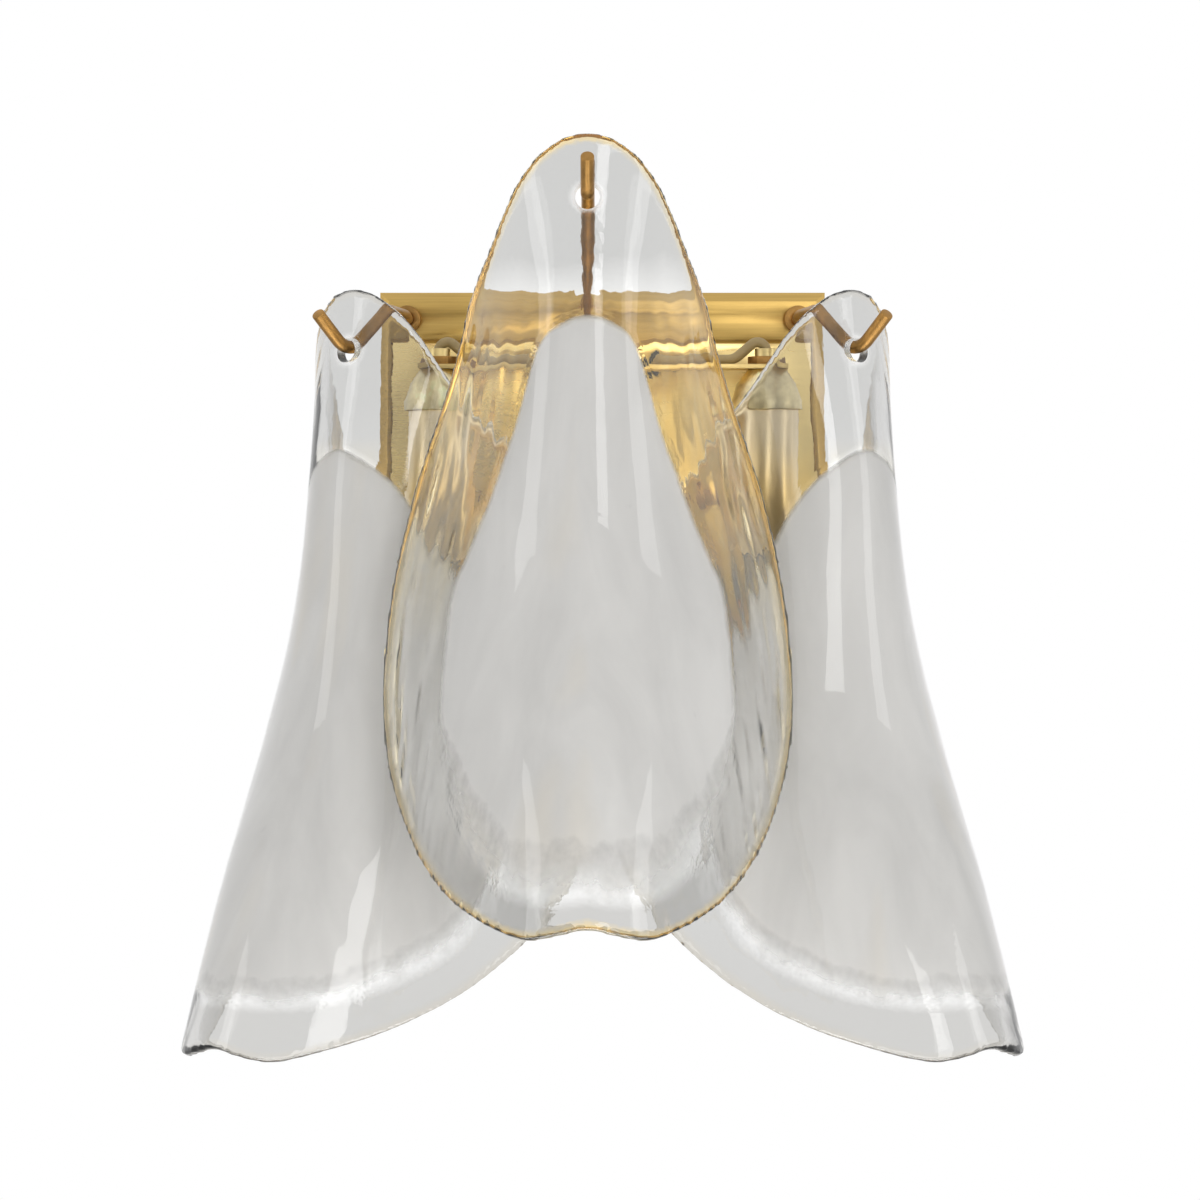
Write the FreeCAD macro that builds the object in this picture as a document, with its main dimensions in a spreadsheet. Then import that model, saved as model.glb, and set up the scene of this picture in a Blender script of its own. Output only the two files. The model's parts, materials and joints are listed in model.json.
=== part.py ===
import FreeCAD, Part
import Sketcher
import math
import os

# Wall sconce: three folded glass petals hung on hooks in front of a brass wall tray with two lampholders.
# Millimetres. +Z is up, the wall is the plane Y = 0 and the light stands out of it towards -Y.
# The origin is the centre of the tray's back, on the wall.

SIZES = {
    # tray and cover
    "tray_width": 196.0,
    "tray_height": 184.0,
    "tray_depth": 24.0,
    "tray_sheet": 1.2,
    "tray_chamfer": 4.0,
    "band_height": 17.0,
    "cover_border": 2.0,
    "cover_sheet": 1.6,
    "cover_gap": 0.4,
    "cover_reveal": 1.6,
    "window_lip": 4.0,
    # wall plate and what it carries
    "plate_width": 120.0,
    "plate_height": 56.0,
    "plate_sheet": 2.0,
    "plate_corner": 6.0,
    "wall_screw_spacing": 70.0,
    "wall_slot_length": 12.0,
    "wall_slot_width": 5.0,
    "cable_hole": 20.0,
    "grommet_bore": 9.0,
    "grommet_lip": 2.5,
    "grommet_thick": 2.0,
    "stud_spacing": 100.0,
    "stud_diameter": 4.0,
    "stud_beyond_cover": 5.0,
    "nut_width": 8.0,
    "cap_nut_length": 7.0,
    "washer_diameter": 9.0,
    "washer_thick": 0.8,
    "terminal_width": 30.0,
    "terminal_height": 14.0,
    "terminal_depth": 12.0,
    "terminal_bore": 4.0,
    "terminal_pitch": 9.0,
    "clamp_wall": 0.5,
    "earth_screw_offset": 28.0,
    "earth_screw_drop": 18.0,
    "earth_head_diameter": 7.0,
    "earth_head_height": 2.5,
    "earth_shank": 4.0,
    # hooks
    "rod_diameter": 5.5,
    "hook_bend": 12.0,
    "hook_level": 80.0,
    "hook_nut_width": 10.0,
    "hook_nut_height": 4.0,
    "collar_diameter": 12.0,
    "collar_height": 3.0,
    "tip_rise": 17.0,
    "tip_reach": 20.0,
    "centre_hook_side": -6.0,
    "centre_hook_out": 211.0,
    "centre_hook_height": 119.5,
    "centre_arm_straight": 30.0,
    "side_arm_straight": 26.0,
    "crest_back": 24.0,
    "side_hook_side": 106.5,
    "side_hook_out": 114.0,
    "side_hook_height": 63.0,
    "side_arm_inset": 12.0,
    "side_turn_degrees": 39.0,
    # petals
    "petal_above_hook": 24.5,
    "petal_below_hook": 292.5,
    "petal_notch": 5.0,
    "petal_half_width": 82.0,
    "petal_ridge_thick": 5.0,
    "petal_rim_thick": 7.5,
    "petal_bottom_flare": 93.5,
    "petal_fold_depth": 105.0,
    "petal_hole": 10.0,
    "hang_gap": 0.8,
    # lampholders
    "lamp_spacing": 142.0,
    "lamp_out": 55.0,
    "bar_level": 56.5,
    "bar_sheet": 2.0,
    "bar_width": 18.0,
    "bar_stem_width": 44.0,
    "bar_flange": 16.0,
    "bar_screw_spacing": 28.0,
    "bar_screw_diameter": 4.0,
    "bar_screw_length": 10.0,
    "bar_screw_head": 7.0,
    "bar_screw_head_height": 2.6,
    "nipple_diameter": 10.0,
    "nipple_bore": 7.0,
    "nipple_above_bar": 7.0,
    "nipple_nut_width": 14.0,
    "nipple_nut_height": 3.5,
    "dome_diameter": 30.0,
    "dome_height": 18.0,
    "dome_top_diameter": 16.0,
    "dome_skirt": 4.0,
    "dome_wall": 0.8,
    "tube_diameter": 27.0,
    "tube_wall": 0.8,
    "tube_bottom": 24.0,
    "socket_diameter": 23.0,
    "socket_top": 34.0,
    "socket_bottom": 21.0,
    "socket_roof": 8.0,
    "shell_wall": 0.5,
    "shell_clearance": 0.06,
    "shell_length": 20.0,
    "contact_diameter": 5.0,
    "contact_height": 1.0,
    # lamps
    "lamp_cap_diameter": 14.0,
    "lamp_cap_length": 20.0,
    "lamp_button_diameter": 4.6,
    "lamp_button_height": 2.0,
    "lamp_seat_gap": 0.3,
    "lamp_skirt": 3.0,
    "bulb_diameter": 35.0,
    "bulb_length": 72.0,
    "bulb_neck_diameter": 15.0,
    "bulb_glass": 0.8,
    "stem_diameter": 3.0,
    "stem_length": 34.0,
    "stem_flare": 8.0,
    "filament_diameter": 1.6,
    "filament_length": 27.0,
    "filament_spread": 4.0,
    "filament_above_stem_tip": 12.0,
    "filament_wire": 0.8,
    # leads inside the light
    "lead_diameter": 4.4,
    "lead_hole_spacing": 60.0,
    "lead_grommet_diameter": 8.0,
    "lead_bend": 7.0,
    "lead_loop_rise": 12.0,
}

doc = FreeCAD.newDocument("wall_sconce")
sheet = doc.addObject("Spreadsheet::Sheet", "Sizes")
for row, (alias, value) in enumerate(SIZES.items(), start=1):
    sheet.set(f"A{row}", alias.replace("_", " "))
    sheet.set(f"B{row}", str(value))
    sheet.setAlias(f"B{row}", alias)
doc.recompute()


class Size:
    """A length with the sheet expression that gives it."""

    def __init__(self, number, text):
        self.number = number
        self.text = text

    def _with(self, other, sign, work):
        other = other if isinstance(other, Size) else Size(float(other), repr(float(other)))
        return Size(work(self.number, other.number), f"({self.text} {sign} {other.text})")

    def __add__(self, other):
        return self._with(other, "+", lambda a, b: a + b)

    def __sub__(self, other):
        return self._with(other, "-", lambda a, b: a - b)

    def __mul__(self, other):
        return self._with(other, "*", lambda a, b: a * b)

    def __truediv__(self, other):
        return self._with(other, "/", lambda a, b: a / b)

    def __neg__(self):
        return Size(-self.number, f"(0 - {self.text})")


def size(alias):
    return Size(float(sheet.get(alias)), f"Sizes.{alias}")


ZERO = Size(0.0, "0")
finished = []

# Shares and tolerances that have no size of their own
BEND_ROOM = 0.45  # of the shorter run, the most that a bend may take
VOLUME_TOLERANCE = 0.02
NUT_HEIGHT_SHARE = 0.8  # of the thread
DOME_SHOULDER_RISE = 0.55
DOME_SHOULDER_NARROWING = 0.3
BUTTON_FACE_SHARE = 0.7
BALL_MEETS_RISE = 0.8  # where the bulb's ball meets its neck, as shares of the ball's radius
BALL_MEETS_REACH = 0.6
SECTION_OVERREACH = 1.12  # the petal's sections run past its rims before they are trimmed
SECTION_STEPS = 8


def bind(thing, path, length):
    thing.setExpression(path, length.text)


def place(thing, x, y, z):
    bind(thing, "Placement.Base.x", x)
    bind(thing, "Placement.Base.y", y)
    bind(thing, "Placement.Base.z", z)
    return thing


def keep(thing, label):
    """Marks an object as a finished piece of the light."""
    thing.Label = label
    finished.append(thing)
    return thing


# ---- Part primitives and booleans

OUTWARD = FreeCAD.Rotation(FreeCAD.Vector(1, 0, 0), 90)
UPWARD = FreeCAD.Rotation()


def block(x0, x1, y0, y1, z0, z1):
    thing = doc.addObject("Part::Box", "Block")
    bind(thing, "Length", x1 - x0)
    bind(thing, "Width", y1 - y0)
    bind(thing, "Height", z1 - z0)
    return place(thing, x0, y0, z0)


def rod(diameter, length, x, y, z, direction=UPWARD):
    """A round bar that starts at a point and runs up, or out of the wall."""
    thing = doc.addObject("Part::Cylinder", "Rod")
    thing.Placement.Rotation = direction
    bind(thing, "Radius", diameter / 2)
    bind(thing, "Height", length)
    return place(thing, x, y, z)


def hexagon(width, length, x, y, z, direction=UPWARD):
    """A hexagonal bar, given by its width across flats."""
    thing = doc.addObject("Part::Prism", "Hexagon")
    thing.Placement.Rotation = direction
    thing.Polygon = 6
    bind(thing, "Circumradius", width / (2 * math.cos(math.pi / thing.Polygon)))
    bind(thing, "Height", length)
    return place(thing, x, y, z)


def join(*things):
    whole = doc.addObject("Part::MultiFuse", "Joined")
    whole.Shapes = list(things)
    return whole


def group(*things):
    """Separate solids that share one node."""
    whole = doc.addObject("Part::Compound", "Group")
    whole.Links = list(things)
    return whole


def cut(base, *tools):
    whole = doc.addObject("Part::Cut", "Cut")
    whole.Base = base
    whole.Tool = tools[0] if len(tools) == 1 else join(*tools)
    return whole


# ---- PartDesign bodies


def origin_plane(body, role):
    return next(plane for plane in body.Origin.OriginFeatures if plane.Role == role)


def new_sketch(body, role, lift=None):
    sketch = body.newObject("Sketcher::SketchObject", "Outline")
    sketch.AttachmentSupport = (origin_plane(body, role), [""])
    sketch.MapMode = "FlatFace"
    if lift is not None:
        bind(sketch, "AttachmentOffset.Base.z", lift)
    return sketch


def polygon(sketch, corners):
    """A closed outline whose every corner is held by two driven distances from the origin."""
    first = sketch.GeometryCount
    count = len(corners)
    for i, (across, along) in enumerate(corners):
        after = corners[(i + 1) % count]
        start = FreeCAD.Vector(across.number, along.number, 0)
        end = FreeCAD.Vector(after[0].number, after[1].number, 0)
        sketch.addGeometry(Part.LineSegment(start, end), False)
    for i in range(count):
        sketch.addConstraint(Sketcher.Constraint("Coincident", first + i, 2, first + (i + 1) % count, 1))
    for i, (across, along) in enumerate(corners):
        for kind, length in (("DistanceX", across), ("DistanceY", along)):
            index = sketch.addConstraint(Sketcher.Constraint(kind, -1, 1, first + i, 1, length.number))
            sketch.setExpression(f"Constraints[{index}]", length.text)


def rectangle(sketch, x0, x1, z0, z1):
    polygon(sketch, [(x0, z0), (x1, z0), (x1, z1), (x0, z1)])


def circle(sketch, across, along, diameter):
    index = sketch.addGeometry(
        Part.Circle(FreeCAD.Vector(across.number, along.number, 0), FreeCAD.Vector(0, 0, 1), diameter.number / 2),
        False,
    )
    held = (("DistanceX", across), ("DistanceY", along))
    for kind, length in held:
        rule = sketch.addConstraint(Sketcher.Constraint(kind, -1, 1, index, 3, length.number))
        sketch.setExpression(f"Constraints[{rule}]", length.text)
    rule = sketch.addConstraint(Sketcher.Constraint("Diameter", index, diameter.number))
    sketch.setExpression(f"Constraints[{rule}]", diameter.text)


def pad(body, sketch, length, backwards=False):
    feature = body.newObject("PartDesign::Pad", "Pad")
    feature.Profile = sketch
    feature.Reversed = backwards
    bind(feature, "Length", length)
    doc.recompute()
    return feature


def pocket(body, sketch, length=None, backwards=False):
    """Cuts a sketch out of the body, and checks that it took something away."""
    before = body.Shape.Volume
    feature = body.newObject("PartDesign::Pocket", "Pocket")
    feature.Profile = sketch
    feature.Reversed = backwards
    if length is None:
        feature.Type = "ThroughAll"
        feature.Midplane = True
    else:
        bind(feature, "Length", length)
    doc.recompute()
    if body.Shape.Volume >= before:
        raise ValueError(f"{body.Label}: a pocket cuts nothing")
    return feature


def turned(label, corners, x, y, z):
    """A turned piece: an outline of radii and heights, revolved about its own upright axis."""
    body = doc.addObject("PartDesign::Body", label)
    sketch = new_sketch(body, "XZ_Plane")
    polygon(sketch, corners)
    feature = body.newObject("PartDesign::Revolution", "Revolution")
    feature.Profile = sketch
    feature.ReferenceAxis = (sketch, ["V_Axis"])
    feature.Angle = 360.0
    doc.recompute()
    place(body, x, y, z)
    return keep(body, label)


def edges_where(shape, test):
    return [f"Edge{i}" for i, edge in enumerate(shape.Edges, start=1) if test(edge)]


def round_edges(body, base, names, radius):
    feature = body.newObject("PartDesign::Fillet", "Fillet")
    feature.Base = (base, names)
    bind(feature, "Radius", radius)
    doc.recompute()
    return feature


# ---- free routes of round section


def bent_route(points, bend):
    """Straight runs joined by tangent arcs. A bend is as large as asked, or as its two runs allow."""
    corners = [FreeCAD.Vector(*point) for point in points]
    edges = []
    here = corners[0]
    for before, corner, after in zip(corners, corners[1:], corners[2:]):
        inward = (before - corner).normalize()
        onward = (after - corner).normalize()
        turn = math.pi - inward.getAngle(onward)
        room = BEND_ROOM * min(corner.distanceToPoint(before), corner.distanceToPoint(after))
        reach = min(bend * math.tan(turn / 2), room)
        radius = reach / math.tan(turn / 2)
        start = corner + inward * reach
        end = corner + onward * reach
        towards_centre = (inward + onward).normalize()
        middle = corner + towards_centre * (radius / math.cos(turn / 2) - radius)
        edges.append(Part.LineSegment(here, start).toShape())
        edges.append(Part.Arc(start, middle, end).toShape())
        here = end
    edges.append(Part.LineSegment(here, corners[-1]).toShape())
    return Part.Wire(edges)


def bent_bar(label, points, diameter, bend):
    """A bar of round section along a bent route, with square ends."""
    route = bent_route(points, bend)
    start = FreeCAD.Vector(*points[0])
    direction = FreeCAD.Vector(*points[1]) - start
    section = Part.Wire([Part.makeCircle(diameter / 2, start, direction)])
    solid = route.makePipeShell([section], True, True)
    expected = math.pi * diameter**2 / 4 * route.Length
    if abs(solid.Volume - expected) > VOLUME_TOLERANCE * expected:
        raise ValueError(f"{label}: the bar's volume does not match its section and length")
    thing = doc.addObject("Part::Feature", label)
    thing.Shape = solid
    return keep(thing, label)


# ---- shared places

tray_half_width = size("tray_width") / 2
tray_half_height = size("tray_height") / 2
tray_face = -size("tray_depth")
inner_face = tray_face + size("tray_sheet")
recess_face = tray_face + size("cover_sheet")
recess_back = recess_face + size("tray_sheet")
recess_side = tray_half_width - size("tray_chamfer") - size("cover_border")
recess_bottom = -(tray_half_height - size("tray_chamfer") - size("cover_border"))
recess_top = tray_half_height - size("tray_chamfer") - size("band_height")
window_side = recess_side - size("window_lip")
window_bottom = recess_bottom + size("window_lip")
window_top = recess_top - size("window_lip")
cover_side = recess_side - size("cover_gap")
cover_bottom = recess_bottom + size("cover_gap")
cover_top = recess_top - size("cover_reveal")
stud_x = size("stud_spacing") / 2
slot_x = size("wall_screw_spacing") / 2
plate_face = -size("plate_sheet")
lamp_x = size("lamp_spacing") / 2
lamp_y = -size("lamp_out")
bar_top = size("bar_level") + size("bar_sheet")
hook_z = size("hook_level")
side_arm_x = tray_half_width - size("side_arm_inset")
hook_starts = [size("centre_hook_side"), -side_arm_x, side_arm_x]
lead_x = size("lead_hole_spacing") / 2
lead_z = bar_top + size("lead_diameter") / 2
cap_top = -size("socket_bottom") + size("lamp_cap_length") + size("shell_clearance")


def make_tray():
    """Pressed brass tray, open to the wall: a bevelled rim, a band on top and a recess for the cover."""
    body = doc.addObject("PartDesign::Body", "back_tray")
    outline = new_sketch(body, "XZ_Plane")
    rectangle(outline, -tray_half_width, tray_half_width, -tray_half_height, tray_half_height)
    solid = pad(body, outline, size("tray_depth"))
    front = tray_face.number

    def on_front(edge):
        return all(abs(vertex.Point.y - front) < 1e-6 for vertex in edge.Vertexes)

    bevel = body.newObject("PartDesign::Chamfer", "Chamfer")
    bevel.Base = (solid, edges_where(solid.Shape, on_front))
    bind(bevel, "Size", size("tray_chamfer"))
    doc.recompute()
    recess = new_sketch(body, "XZ_Plane", size("tray_depth"))
    rectangle(recess, -recess_side, recess_side, recess_bottom, recess_top)
    pressed = pocket(body, recess, size("cover_sheet"))
    back = [f"Face{i}" for i, face in enumerate(pressed.Shape.Faces, start=1) if abs(face.CenterOfMass.y) < 1e-6]
    shell = body.newObject("PartDesign::Thickness", "Thickness")
    shell.Base = (pressed, back)
    shell.Reversed = True
    shell.Join = "Intersection"
    bind(shell, "Value", size("tray_sheet"))
    doc.recompute()
    window = new_sketch(body, "XZ_Plane")
    rectangle(window, -window_side, window_side, window_bottom, window_top)
    pocket(body, window)
    holes = new_sketch(body, "XZ_Plane")
    for x in hook_starts:
        circle(holes, x, hook_z, size("rod_diameter"))
    pocket(body, holes)
    return keep(body, "back_tray")


def make_cover():
    """Flat brass panel that lies in the tray's recess, with holes for studs, lamp bar and leads."""
    body = doc.addObject("PartDesign::Body", "front_cover")
    outline = new_sketch(body, "XZ_Plane", -recess_face)
    rectangle(outline, -cover_side, cover_side, cover_bottom, cover_top)
    pad(body, outline, size("cover_sheet"))
    holes = new_sketch(body, "XZ_Plane")
    bar_screw_x = size("bar_screw_spacing") / 2
    bar_screw_z = size("bar_level") - size("bar_flange") / 2
    for side in (-1, 1):
        circle(holes, stud_x * side, ZERO, size("stud_diameter"))
        circle(holes, bar_screw_x * side, bar_screw_z, size("bar_screw_diameter"))
        circle(holes, lead_x * side, lead_z, size("lead_grommet_diameter"))
    pocket(body, holes)
    return keep(body, "front_cover")


def make_wall_plate():
    """Steel plate that is screwed to the wall and carries the studs, the terminals and the earth screw."""
    body = doc.addObject("PartDesign::Body", "wall_plate")
    half_width = size("plate_width") / 2
    half_height = size("plate_height") / 2
    outline = new_sketch(body, "XZ_Plane")
    rectangle(outline, -half_width, half_width, -half_height, half_height)
    solid = pad(body, outline, size("plate_sheet"))

    def is_corner(edge):
        return abs(edge.Length - size("plate_sheet").number) < 1e-6

    round_edges(body, solid, edges_where(solid.Shape, is_corner), size("plate_corner"))
    slots = new_sketch(body, "XZ_Plane")
    holes = new_sketch(body, "XZ_Plane")
    slot_wide = size("wall_slot_width") / 2
    slot_end = size("wall_slot_length") / 2 - slot_wide
    for side in (-1, 1):
        middle = slot_x * side
        rectangle(slots, middle - slot_end, middle + slot_end, -slot_wide, slot_wide)
        circle(holes, middle - slot_end, ZERO, size("wall_slot_width"))
        circle(holes, middle + slot_end, ZERO, size("wall_slot_width"))
        circle(holes, stud_x * side, ZERO, size("stud_diameter"))
    circle(holes, ZERO, ZERO, size("cable_hole"))
    circle(holes, size("earth_screw_offset"), -size("earth_screw_drop"), size("earth_shank"))
    pocket(body, slots)
    pocket(body, holes)
    return keep(body, "wall_plate")


def make_studs():
    """Two threaded studs through the wall plate, with washers and domed nuts in front of the cover."""
    length = size("tray_depth") + size("stud_beyond_cover")
    studs = [rod(size("stud_diameter"), length, stud_x * side, ZERO, ZERO, OUTWARD) for side in (-1, 1)]
    keep(group(*studs), "wall_studs")
    washers = []
    nuts = []
    washer_face = tray_face - size("washer_thick")
    for side in (-1, 1):
        disc = rod(size("washer_diameter"), size("washer_thick"), stud_x * side, tray_face, ZERO, OUTWARD)
        bore = rod(size("stud_diameter"), size("washer_thick"), stud_x * side, tray_face, ZERO, OUTWARD)
        washers.append(cut(disc, bore))
        hexed = hexagon(size("nut_width"), size("cap_nut_length") / 2, stud_x * side, washer_face, ZERO, OUTWARD)
        dome = rod(size("nut_width"), size("cap_nut_length"), stud_x * side, washer_face, ZERO, OUTWARD)
        bore_depth = size("stud_beyond_cover") - size("washer_thick")
        hole = rod(size("stud_diameter"), bore_depth, stud_x * side, washer_face, ZERO, OUTWARD)
        nuts.append(cut(join(hexed, dome), hole))
    keep(group(*washers), "stud_washers")
    keep(group(*nuts), "cap_nuts")


def ring_profile(inner, outer, low, high):
    return [(inner, low), (outer, low), (outer, high), (inner, high)]


def flat_grommet(bore, hole, lip, sheet_back, sheet_front, x, z):
    """Rubber ring with a groove for the sheet that it sits in, its axis square to the wall."""
    outer = hole + lip * 2
    back = rod(outer, size("grommet_thick"), x, sheet_back + size("grommet_thick"), z, OUTWARD)
    front = rod(outer, size("grommet_thick"), x, sheet_front, z, OUTWARD)
    waist = rod(hole, sheet_back - sheet_front, x, sheet_back, z, OUTWARD)
    start = sheet_back + size("grommet_thick")
    through = rod(bore, start - sheet_front + size("grommet_thick"), x, start, z, OUTWARD)
    return cut(join(back, front, waist), through)


def make_cable_entry():
    """Rubber bush in the plate's cable hole, its lip on the side away from the wall."""
    lip_diameter = size("cable_hole") + size("grommet_lip") * 2
    neck = rod(size("cable_hole"), size("plate_sheet"), ZERO, ZERO, ZERO, OUTWARD)
    lip = rod(lip_diameter, size("grommet_thick"), ZERO, plate_face, ZERO, OUTWARD)
    bore_length = size("plate_sheet") + size("grommet_thick")
    bore = rod(size("grommet_bore"), bore_length, ZERO, ZERO, ZERO, OUTWARD)
    keep(cut(join(neck, lip), bore), "cable_bush")


def make_terminals():
    """Three-way terminal block with its brass clamps, screwed to the wall plate above the cable hole."""
    half = size("terminal_width") / 2
    low = size("cable_hole") / 2 + size("grommet_lip") + size("grommet_thick") / 2
    high = low + size("terminal_height")
    front = plate_face - size("terminal_depth")
    middle = plate_face - size("terminal_depth") / 2
    base = block(-half, half, front, plate_face, low, high)
    bores = [
        rod(size("terminal_bore"), size("terminal_height"), size("terminal_pitch") * i, middle, low)
        for i in (-1, 0, 1)
    ]
    keep(cut(base, *bores), "terminal_block")
    clamps = []
    for i in (-1, 0, 1):
        x = size("terminal_pitch") * i
        barrel = rod(size("terminal_bore"), size("terminal_height"), x, middle, low)
        inside = size("terminal_bore") - size("clamp_wall") * 2
        bore = rod(inside, size("terminal_height"), x, middle, low)
        clamps.append(cut(barrel, bore))
    keep(group(*clamps), "terminal_clamps")


def make_earth_screw():
    x = size("earth_screw_offset")
    z = -size("earth_screw_drop")
    head = rod(size("earth_head_diameter"), size("earth_head_height"), x, plate_face, z, OUTWARD)
    shank = rod(size("earth_shank"), size("plate_sheet"), x, ZERO, z, OUTWARD)
    keep(join(head, shank), "earth_screw")


def make_hook_fixings():
    """A turned collar in front of the band and a nut behind it for each hook."""
    collars = []
    nuts = []
    for x in hook_starts:
        disc = rod(size("collar_diameter"), size("collar_height"), x, tray_face, hook_z, OUTWARD)
        hole = rod(size("rod_diameter"), size("collar_height"), x, tray_face, hook_z, OUTWARD)
        collars.append(cut(disc, hole))
        back = inner_face + size("hook_nut_height")
        nut = hexagon(size("hook_nut_width"), size("hook_nut_height"), x, back, hook_z, OUTWARD)
        bore = rod(size("rod_diameter"), size("hook_nut_height"), x, back, hook_z, OUTWARD)
        nuts.append(cut(nut, bore))
    keep(group(*collars), "hook_collars")
    keep(group(*nuts), "hook_nuts")


def number(alias):
    return size(alias).number


def hook_route(start, wayside, seat, turn_degrees):
    """From the band to a crest, down to the seat and up to the tip; the seat is the rod's lowest point."""
    slope = math.atan2(number("tip_rise"), number("tip_reach"))
    lift = number("hook_bend") * (1 / math.cos(slope) - 1)
    turn = math.radians(turn_degrees)
    outward = FreeCAD.Vector(math.sin(turn), -math.cos(turn), 0)
    corner = FreeCAD.Vector(*seat) - FreeCAD.Vector(0, 0, lift)
    crest_rise = number("crest_back") * math.tan(slope)
    crest = corner - outward * number("crest_back") + FreeCAD.Vector(0, 0, crest_rise)
    tip = corner + outward * number("tip_reach") + FreeCAD.Vector(0, 0, number("tip_rise"))
    return [start, wayside, crest, corner, tip]


def centre_seat():
    return (number("centre_hook_side"), -number("centre_hook_out"), number("centre_hook_height"))


def side_seat(side):
    return (side * number("side_hook_side"), -number("side_hook_out"), number("side_hook_height"))


def make_hooks():
    """Round rods with square-cut tips, threaded into the nuts behind the band."""
    back = inner_face.number + number("hook_nut_height")
    level = number("hook_level")
    straight = tray_face.number - number("centre_arm_straight")
    x = number("centre_hook_side")
    route = hook_route((x, back, level), (x, straight, level), centre_seat(), 0.0)
    bent_bar("hook_centre", route, number("rod_diameter"), number("hook_bend"))
    wayside = tray_face.number - number("side_arm_straight")
    for label, side in (("hook_left", -1), ("hook_right", 1)):
        x = side * side_arm_x.number
        turn = side * number("side_turn_degrees")
        route = hook_route((x, back, level), (x, wayside, level), side_seat(side), turn)
        bent_bar(label, route, number("rod_diameter"), number("hook_bend"))


# ---- petals

# The petal's outline, seen square on to its fold: share of the half width, and share of the height
# below the hook (above it where negative). The crown runs from the top of the fold to the long rims,
# the lobe from them to the notch at the fold.
PETAL_CROWN = [
    (0.18, -0.067),
    (0.335, -0.017),
]
PETAL_RIM = [
    (0.48, 0.077),
    (0.57, 0.143),
    (0.62, 0.203),
    (0.695, 0.277),
    (0.85, 0.41),
    (0.955, 0.543),
    (0.998, 0.667),
    (0.995, 0.743),
    (0.95, 0.817),
    (0.865, 0.88),
    (0.755, 0.93),
    (0.61, 0.967),
]
PETAL_LOBE = [
    (0.44, 0.99),
    (0.29, 1.0),
    (0.14, 0.992),
]
# The fold, level by level: height as a share of the drop below the hook, how far the fold stands out
# as a share of the flare at the bottom, and how deep the sides fold back there for their full width,
# as a share of the fold's depth.
PETAL_LEVELS = [
    (-0.12, -0.04, 0.72),
    (0.0, 0.0, 1.06),
    (0.167, 0.09, 1.4),
    (0.367, 0.168, 1.12),
    (0.567, 0.336, 0.84),
    (0.767, 0.667, 1.02),
    (1.06, 1.06, 1.2),
]


def petal_fold_at(drop):
    """How far the fold stands out, and the parabola's width squared over depth, at a height."""
    for (high, out_high, deep_high), (low, out_low, deep_low) in zip(PETAL_LEVELS, PETAL_LEVELS[1:]):
        if drop <= low:
            break
    share = (drop - high) / (low - high)
    out = out_high + (out_low - out_high) * share
    deep = deep_high + (deep_low - deep_high) * share
    spread = number("petal_half_width") ** 2 / (number("petal_fold_depth") * deep)
    return out * number("petal_bottom_flare"), spread


def petal_section(drop):
    """Closed section of the folded sheet at one level: a parabola and its offset, thicker at the rims."""
    out, spread = petal_fold_at(drop)
    ridge = number("petal_ridge_thick")
    rim = number("petal_rim_thick")
    reach = number("petal_half_width") * SECTION_OVERREACH
    outer = []
    inner = []
    for i in range(-SECTION_STEPS, SECTION_STEPS + 1):
        share = i / SECTION_STEPS
        across = reach * share
        slope = 2 * across / spread
        length = math.hypot(1.0, slope)
        half = (ridge + (rim - ridge) * share**2) / 2
        depth = across**2 / spread
        centre_x = across
        centre_y = -(out - depth)
        step_x = half * slope / length
        step_y = half / length
        height = -drop * number("petal_below_hook")
        outer.append(FreeCAD.Vector(centre_x + step_x, centre_y - step_y, height))
        inner.append(FreeCAD.Vector(centre_x - step_x, centre_y + step_y, height))
    front = Part.BSplineCurve()
    front.interpolate(outer)
    back = Part.BSplineCurve()
    back.interpolate(inner[::-1])
    return Part.Wire(
        [
            front.toShape(),
            Part.LineSegment(outer[-1], inner[-1]).toShape(),
            back.toShape(),
            Part.LineSegment(inner[0], outer[0]).toShape(),
        ]
    )


def closed_face(curve_points, corners):
    """A face bounded by one smooth curve and straight lines through the corners back to its start."""
    curve = Part.BSplineCurve()
    curve.interpolate(curve_points)
    edges = [curve.toShape()]
    here = curve_points[-1]
    for corner in corners + [curve_points[0]]:
        edges.append(Part.LineSegment(here, corner).toShape())
        here = corner
    return Part.Face(Part.Wire(edges))


def petal_side_trim():
    """Trims the long rims square to the glass: their outline seen from the side, extruded across."""
    half_width = number("petal_half_width")
    length = number("petal_below_hook")
    points = []
    for across, drop in PETAL_RIM:
        out, spread = petal_fold_at(drop)
        points.append(FreeCAD.Vector(0, (across * half_width) ** 2 / spread - out, -drop * length))
    above = number("petal_above_hook") * 2
    below = -length - above
    front = -number("petal_bottom_flare") - number("petal_fold_depth")
    corners = [
        FreeCAD.Vector(0, points[-1].y, below),
        FreeCAD.Vector(0, front, below),
        FreeCAD.Vector(0, front, above),
        FreeCAD.Vector(0, points[0].y, above),
    ]
    face = closed_face(points, corners)
    face.translate(FreeCAD.Vector(-2 * half_width, 0, 0))
    return face.extrude(FreeCAD.Vector(4 * half_width, 0, 0))


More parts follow.
